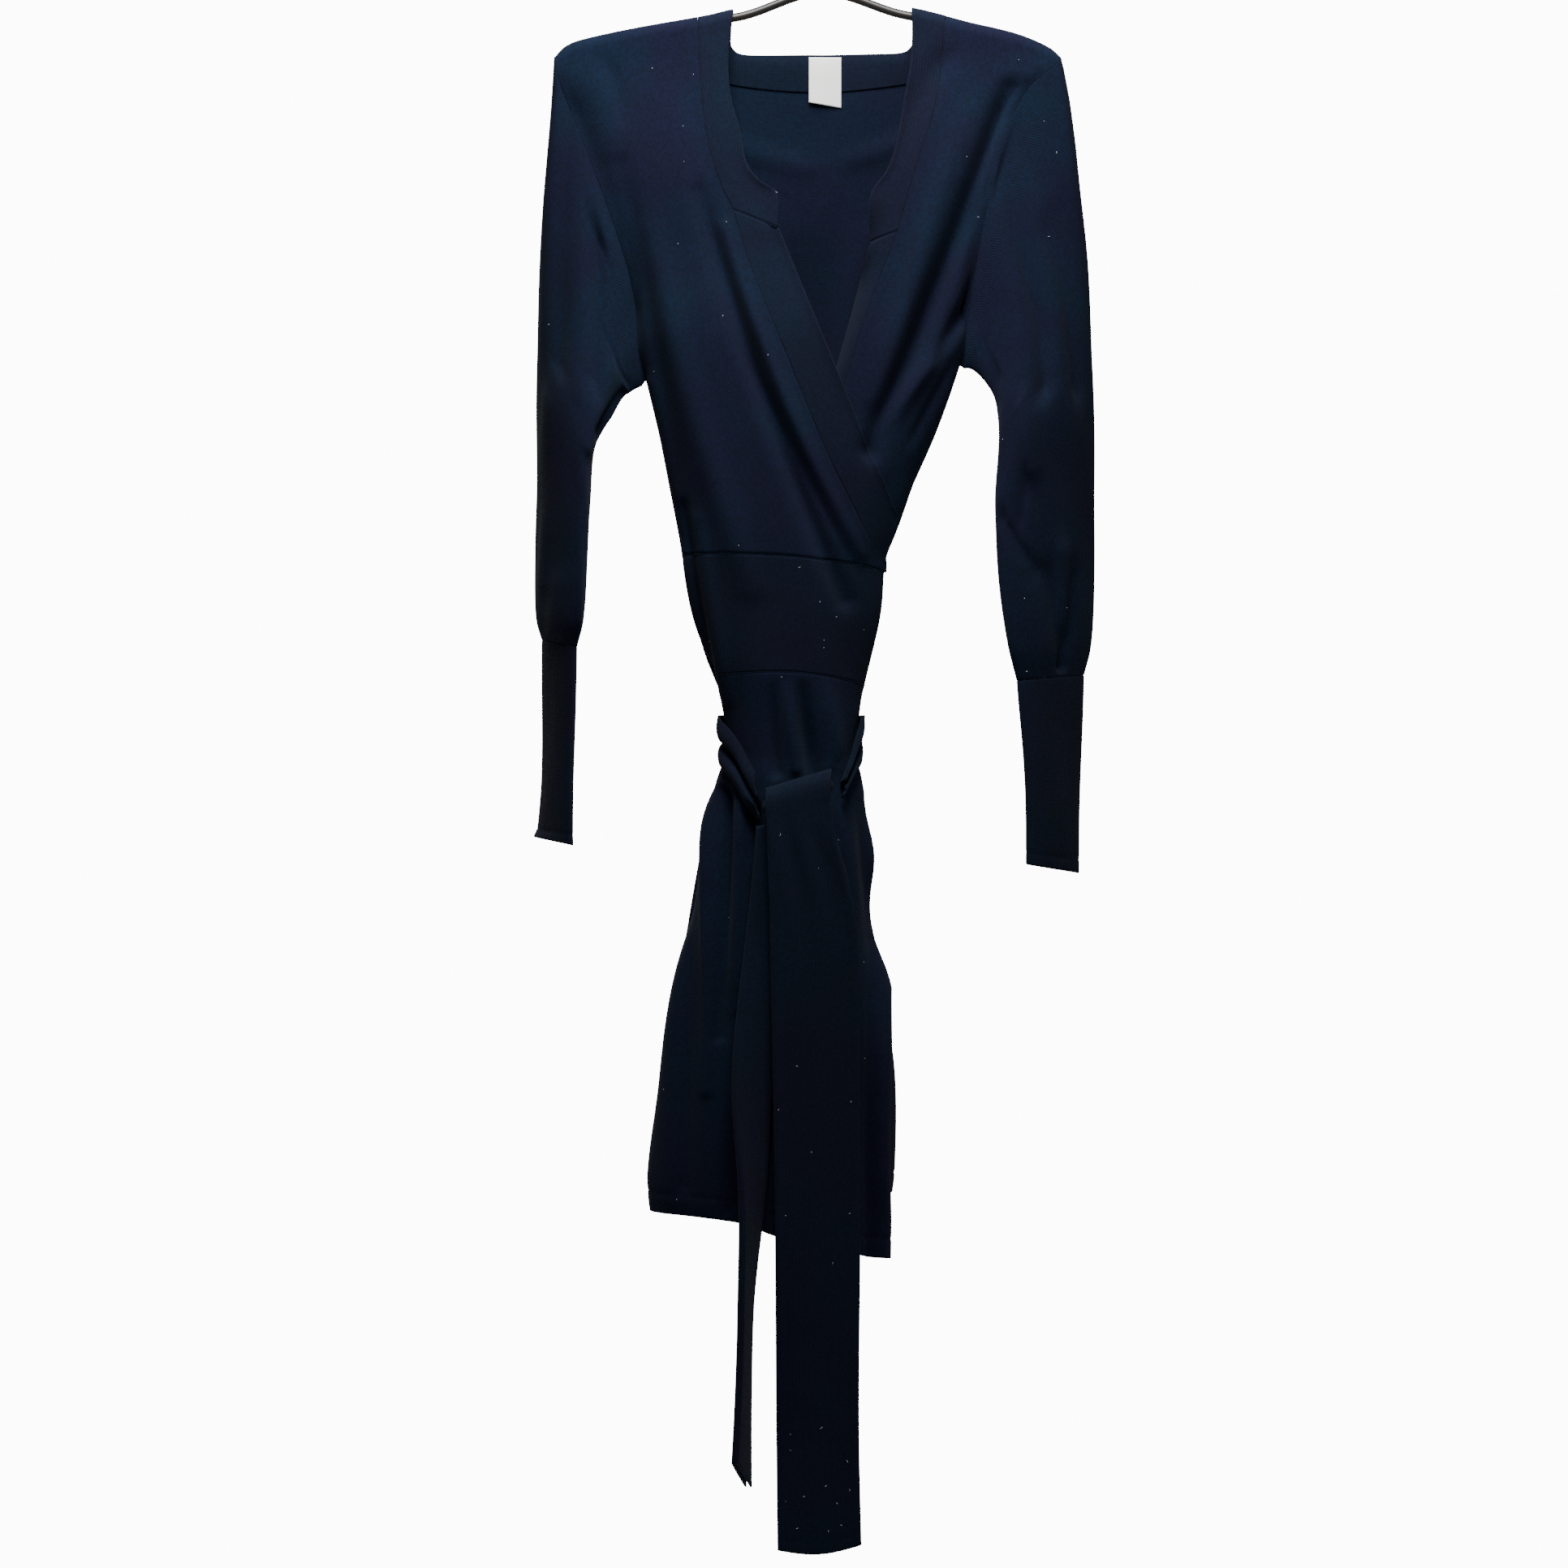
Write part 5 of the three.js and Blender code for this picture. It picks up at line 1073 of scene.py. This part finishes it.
# %% Tails
TAIL = table(
    "drop left right y", (580, -42, 6, -65.6), (610, -41, 10, -66), (640, -40, 18, -66),
    (668, -39, 24, -66), (720, -38, 27, -66), (890, -35, 28, -65), (1040, -34, 27, -63),
    (1139, -33, 29, -62))
TAIL_OVER = table("step y below", (0, -46, -6), (0.14, -48.5, -10.5), (0.3, -53, -13.2),
                  (0.48, -58.6, -12.4), (0.66, -63.4, -8), (0.84, -65.6, -1.5), (1, -65.9, 7))
TAIL_END = dict(drop=1134, sag=5, slant=-4)
SECOND_TAIL = table(
    "drop x y turn", (596, -14, -51, 2), (640, -17, -53.5, 4), (700, -24, -54.5, 8),
    (790, -37, -55.5, 32), (870, -43, -57, 60), (950, -52, -57, 77), (1020, -54, -58, 77),
    (1090, -54, -59, 70))
SECOND_END = dict(leaf=31, open=2.5, drop=1068, slant=20)


def main_tail(columns, over_rows, rows):
    """Rows that roll over the knot along a curve, then rows that fall evenly to the end. Both
    side edges swell forward in a bell curve, and soft pleats fade out below the knot."""
    u = np.linspace(0, 1, columns + 1)[None]
    step = np.linspace(0, 1, over_rows)[:, None]
    x = mix(look_up(TAIL, "drop", "left", 584), look_up(TAIL, "drop", "right", 584), u)
    knot_line = KNOT["drop"] - KNOT["slope"] * (x - KNOT["x"])
    high = np.broadcast_arrays(x, look_up(TAIL_OVER, "step", "y", step),
                               knot_line + look_up(TAIL_OVER, "step", "below", step))
    fall = np.linspace(0, 1, rows + 1)[1:, None]
    start = knot_line + TAIL_OVER["below"][-1]
    end = TAIL_END["drop"] + TAIL_END["sag"] * np.sin(np.pi * u) + TAIL_END["slant"] * u
    drop = start + (end - start) * fall
    low = [mix(look_up(TAIL, "drop", "left", drop), look_up(TAIL, "drop", "right", drop), u),
           look_up(TAIL, "drop", "y", drop), drop]
    x, y, drop = (np.concatenate([a, b]) for a, b in zip(high, low))
    swell = bell(u - 0.05, 0.05) + bell(u - 0.95, 0.05)
    pleats = 1.5 * np.cos(2 * np.pi * 2.6 * u + 0.6) * (1 - smooth(600, 720, drop))
    pleats *= smooth(590, 640, drop)
    drift = 1.2 * np.sin((drop - 600) / 75) * smooth(620, 800, drop)
    stitched = 0.5 * bell(end - drop - 9, 1.2)
    return np.stack([x, y - 0.9 * swell + pleats + drift + stitched, -drop], -1)


def second_tail(columns, rows):
    """A strip bent round its fold: a leaf behind, a half circle, and a leaf in front. Both turn
    from facing the camera to edge-on."""
    u, v = steps(columns, rows)
    radius = SECOND_END["open"] / 2 + CLOTH
    along = np.maximum(np.abs(u - 0.5) / 0.42 - 0.19, 0)
    start = SECOND_TAIL["drop"][0] + (1 - along) * KNOT["slope"] * SECOND_END["leaf"]
    drop = start + (SECOND_END["drop"] + SECOND_END["slant"] * along - start) * v
    turn = np.radians(look_up(SECOND_TAIL, "drop", "turn", drop))
    bend = np.pi * np.clip((u - 0.42) / 0.16, 0, 1)
    wide = SECOND_END["leaf"] * (along - 1) - radius * np.sin(bend)
    deep = radius * np.cos(bend)
    return np.stack([
        look_up(SECOND_TAIL, "drop", "x", drop) + np.cos(turn) * wide + np.sin(turn) * deep,
        look_up(SECOND_TAIL, "drop", "y", drop) + np.sin(turn) * wide - np.cos(turn) * deep,
        -drop], -1)


cloth("belt_tail_main", main_tail(46, 26, 230), DOUBLED, -1, RIB, "navy_rib")
cloth("belt_tail_second", second_tail(70, 200), CLOTH, 1, RIB, "navy_rib")

# %% [markdown]
# ## Label and hanger
# The label is a blank ribbon that hangs inside the back of the neck. The hanger is plain: a
# round bar that follows the shoulder line, with rounded tips, and a bent wire hook in a small
# collar.

# %% Label
LABEL = dict(left=-9.6, right=14.4, top=37, bottom=(70, 74))


def label(columns, rows):
    """The back's own form, moved inside the neck band, with a small wave towards its end."""
    u, v = steps(columns, rows)
    x = mix(LABEL["left"], LABEL["right"], u)
    drop = LABEL["top"] + (mix(*LABEL["bottom"], u) - LABEL["top"]) * v
    wave = 0.8 * v * np.sin(np.pi * (1.3 * u + 0.2))
    lift = -(DOUBLED + 0.5) - wave
    return body(1, across_at(1, x, drop), drop, drop - shoulder_drop(x), lift)


cloth("label", label(24, 30), 0.5, 1, RIBBON, "label_satin")


# %% Hanger
def tube_rings(path, radius, sides, side_way, flat=1.0):
    """Rings round a path: two directions square to it, times the radius at each point."""
    way = unit(np.gradient(path, axis=0))
    across = unit(np.cross(way, side_way))
    up = np.cross(across, way)
    angle = 2 * np.pi * np.arange(sides) / sides
    circle = (across[:, None] * np.cos(angle)[None, :, None] * flat
              + up[:, None] * np.sin(angle)[None, :, None])
    return path[:, None] + circle * np.asarray(radius)[:, None, None]


def rounded(count, ends, radius):
    """A radius that grows from 0 to full over a number of rings at each end, as a circle does."""
    n = np.arange(count)
    near = np.minimum(np.minimum(n, count - 1 - n) / ends, 1)
    return radius * np.sqrt(np.maximum(1 - (1 - near) ** 2, 1e-4))


BAR = dict(radius=3.2, under=3.4, rise=9, neck=62, left=-182, right=157)
HOOK = dict(wire=2.0, radius=22.0, stem=21.0, start=-50, end=205)


def bar_top(x):
    """The bar lies under the shoulder line and rises between the neck points."""
    return BAR["rise"] * (1 - smooth(0, BAR["neck"], np.abs(x))) - shoulder_drop(x) - BAR["under"]


bar_x = np.linspace(BAR["left"], BAR["right"], 160)
bar_path = np.stack([bar_x, 0 * bar_x, bar_top(bar_x) - BAR["radius"]], -1)
bar_rings = tube_rings(bar_path, rounded(160, 4, BAR["radius"]), 24, (0, 1, 0))
bar = closed_roll("hanger_bar_smooth", bar_rings, PLASTIC, 1)

foot = bar_top(0.0) - 1
bow = np.radians(np.linspace(HOOK["start"], HOOK["end"], 90))
bow_radius = HOOK["radius"] + HOOK["wire"]
bow_path = np.stack([bow_radius * np.cos(bow), 0 * bow,
                     HOOK_TO_NECK - HOOK["radius"] + bow_radius * np.sin(bow)], -1)
stem_end = np.array([0, 0, foot + HOOK["stem"]])
stem = np.linspace([0, 0, foot], stem_end, 20)
ease = np.linspace(0, 1, 24)[1:-1, None]
start_way = np.array([0, 0, 26.0])
end_way = 26.0 * unit(bow_path[1] - bow_path[0])
link = (stem_end * (2 * ease ** 3 - 3 * ease ** 2 + 1) + start_way * (ease ** 3 - 2 * ease ** 2 + ease)
        + bow_path[0] * (3 * ease ** 2 - 2 * ease ** 3) + end_way * (ease ** 3 - ease ** 2))
hook_path = np.concatenate([stem, link, bow_path])
hook_rings = tube_rings(hook_path, rounded(len(hook_path), 4, HOOK["wire"]), 20, (0, 1, 0))
hook = closed_roll("hanger_hook_wire", hook_rings, WIRE, 1)

collar_path = np.linspace([0, 0, foot - 1], [0, 0, foot + 7], 24)
collar_rings = tube_rings(collar_path, rounded(24, 5, 3.6), 24, (0, 1, 0))
collar = closed_roll("hanger_collar", collar_rings, PLASTIC, 1)
settle(bar, "hanger_bar", "hanger_bar")
settle(hook, "hook_wire", "hanger_hook")
settle(collar, "hanger_bar")
print("hanger pieces:", bar.name, hook.name, collar.name)

# %% [markdown]
# ## Linked seams and lint
# Knitted pieces are joined by linking, which leaves a fine chain of loops along the seam. Each
# chain is a thin cord whose radius swells at every loop. Dark cloth also catches pale lint, so
# a few short fibres lie on it where the photograph shows them, and others are spread at random.


# %% Join many small bodies into one mesh
def joined(name, groups, finish):
    """One mesh from many small closed bodies, each given as rings of points. All of it takes
    the colour at the middle of a rib."""
    faces, count = [], 0
    for grid in groups:
        rows, columns = grid.shape[:2]
        ends = [np.arange(columns)[::-1], (rows - 1) * columns + np.arange(columns)]
        faces += (grid_cells(rows, columns)[1] + count).tolist()
        faces += [(end + count).tolist() for end in ends]
        count += rows * columns
    points = np.concatenate([grid.reshape(-1, 3) for grid in groups])
    uvs = np.tile([RIB_WIDE / 2, 0], sum(map(len, faces)))
    return mesh_object(name, points, faces, uvs, finish)


# %% Linking chains
LOOP = dict(pitch=2.3, radius=0.36, swell=0.12, step=0.75, sunk=0.25)


def resample(line, step):
    """The same line with points at even steps along it."""
    length = np.concatenate([[0], np.cumsum(np.linalg.norm(np.diff(line, axis=0), axis=-1))])
    even = np.linspace(0, length[-1], max(int(length[-1] / step), 4))
    return np.stack([np.interp(even, length, line[:, k]) for k in range(3)], -1), even


def chain(line):
    """A linking chain, sunk into its seam: its radius is r + swell * |sin(pi length / pitch)|."""
    path, length = resample(np.asarray(line), LOOP["step"])
    path[:, 1] -= np.sign(path[:, 1].mean()) * LOOP["sunk"]
    radius = LOOP["radius"] + LOOP["swell"] * np.abs(np.sin(np.pi * length / LOOP["pitch"]))
    radius = np.minimum(radius, rounded(len(path), 3, 1.0))
    return tube_rings(path, radius, 6, (0, 1, 0))


TOP_SEAMS = ("waistband_over", "waistband_under", "waistband_back", "skirt_over", "skirt_under",
             "skirt_back")
CHAINS = [
    PIECES["bodice_front_over"][6:, -1], PIECES["bodice_front_under"][6:, 0],
    PIECES["neck_band_left"][-1], PIECES["neck_band_right"][-1],
    *[PIECES[name][0] for name in TOP_SEAMS], PIECES["neck_band_back"][-1, 12:-12]]
chains = joined("linking_chains", [chain(line) for line in CHAINS], RIB)
settle(chains, "navy_rib")
print("chains:", len(CHAINS), "faces:", len(chains.data.polygons))

# %% Lint
LINT_SEEN = table(
    "x drop long", (-28, 115, 1.6), (176, 109, 1.8), (170, 169, 1.8), (-72, 229, 1.6),
    (-14, 417, 1.8), (0, 442, 1.5), (-29, 610, 2.2), (-17, 779, 1.8), (-30, 811, 1.4),
    (-6, 842, 1.4), (-63, 402, 1.2), (-32, 498, 1.2), (16, 1070, 2.2), (0, 1088, 1.8),
    (-12, 1096, 1.4), (10, 1102, 1.8), (18, 1092, 1.6), (-3, 1046, 3.0), (14, 1118, 1.4),
    (-16, 1119, 1.6), (4, 1122, 1.4), (17, 887, 1.4), (-24, 890, 1.3), (6, 925, 1.3),
    (152, 494, 1.6), (-204, 236, 1.3), (150, 440, 1.1), (-42, 261, 1.2), (-70, 160, 1.0))
LINT_SPREAD = dict(count=70, long=(0.5, 1.3), thick=0.14, seed=5)
LINT_ON = ("bodice_back", "skirt_back", "bodice_front_over", "skirt_over", "sleeve_left",
           "sleeve_right", "belt_tail_main", "bodice_front_under", "waistband_over")


def fibre(at, way, normal, long, bow):
    """A short bent fibre that lies on the cloth: a parabola's arc with tapered ends."""
    t = np.linspace(-1, 1, 7)[:, None]
    across = np.cross(normal, way)
    path = at + normal * 0.25 + way * t * long / 2 + across * bow * (t * t - 0.5)
    return tube_rings(path, rounded(7, 2, LINT_SPREAD["thick"]), 5, normal)


front = [name for name in PIECES if not name.endswith("_back")]
front_points = np.concatenate([PIECES[name].reshape(-1, 3) for name in front])
rng = np.random.default_rng(LINT_SPREAD["seed"])
fibres = []
for x, drop, long in zip(LINT_SEEN["x"], LINT_SEEN["drop"], LINT_SEEN["long"]):
    gap = np.hypot(front_points[:, 0] - x, front_points[:, 2] + drop)
    near = front_points[gap < max(gap.min() * 1.2, 3.0)]
    at = near[near[:, 1].argmin()]
    angle = rng.uniform(0, np.pi)
    way = np.array([np.cos(angle), 0, np.sin(angle)])
    fibres.append(fibre(at, way, np.array([0, -1.0, 0]), long, rng.uniform(0.1, 0.5)))
for _ in range(LINT_SPREAD["count"]):
    name = LINT_ON[rng.integers(len(LINT_ON))]
    grid = PIECES[name]
    i, j = rng.integers(6, grid.shape[0] - 6), rng.integers(4, grid.shape[1] - 4)
    normal = unit(np.cross(grid[i, j + 1] - grid[i, j - 1], grid[i + 1, j] - grid[i - 1, j]))
    normal = normal * (-1 if name == "sleeve_left" or PIECES[name][..., 1].mean() < -5 else 1)
    way = unit(np.cross(normal, rng.normal(size=3)))
    fibres.append(fibre(grid[i, j], way, normal, rng.uniform(*LINT_SPREAD["long"]),
                        rng.uniform(0, 0.3)))
lint = joined("lint", fibres, LINT)
settle(lint, "label_satin")
print("fibres:", len(fibres))

# %% [markdown]
# ## Floor
# A pale floor lies below the dress.


# %% Floor
FLOOR = dict(radius=2200, drop=1500, sides=96)


def floor_disc(radius, drop, sides):
    """A flat disc of triangles round its middle."""
    ring = np.arange(sides)
    angle = 2 * np.pi * ring / sides
    rim = np.stack([radius * np.cos(angle), radius * np.sin(angle), 0 * angle - drop], -1)
    faces = np.stack([ring, np.roll(ring, -1), 0 * ring + sides], -1)
    return mesh_object("floor", np.concatenate([rim, [[0, 0, -drop]]]), faces.tolist(),
                       finish=moulded("pale_floor", "f4f4f2", 0.8, 30 * MM))


floor_disc(**FLOOR)
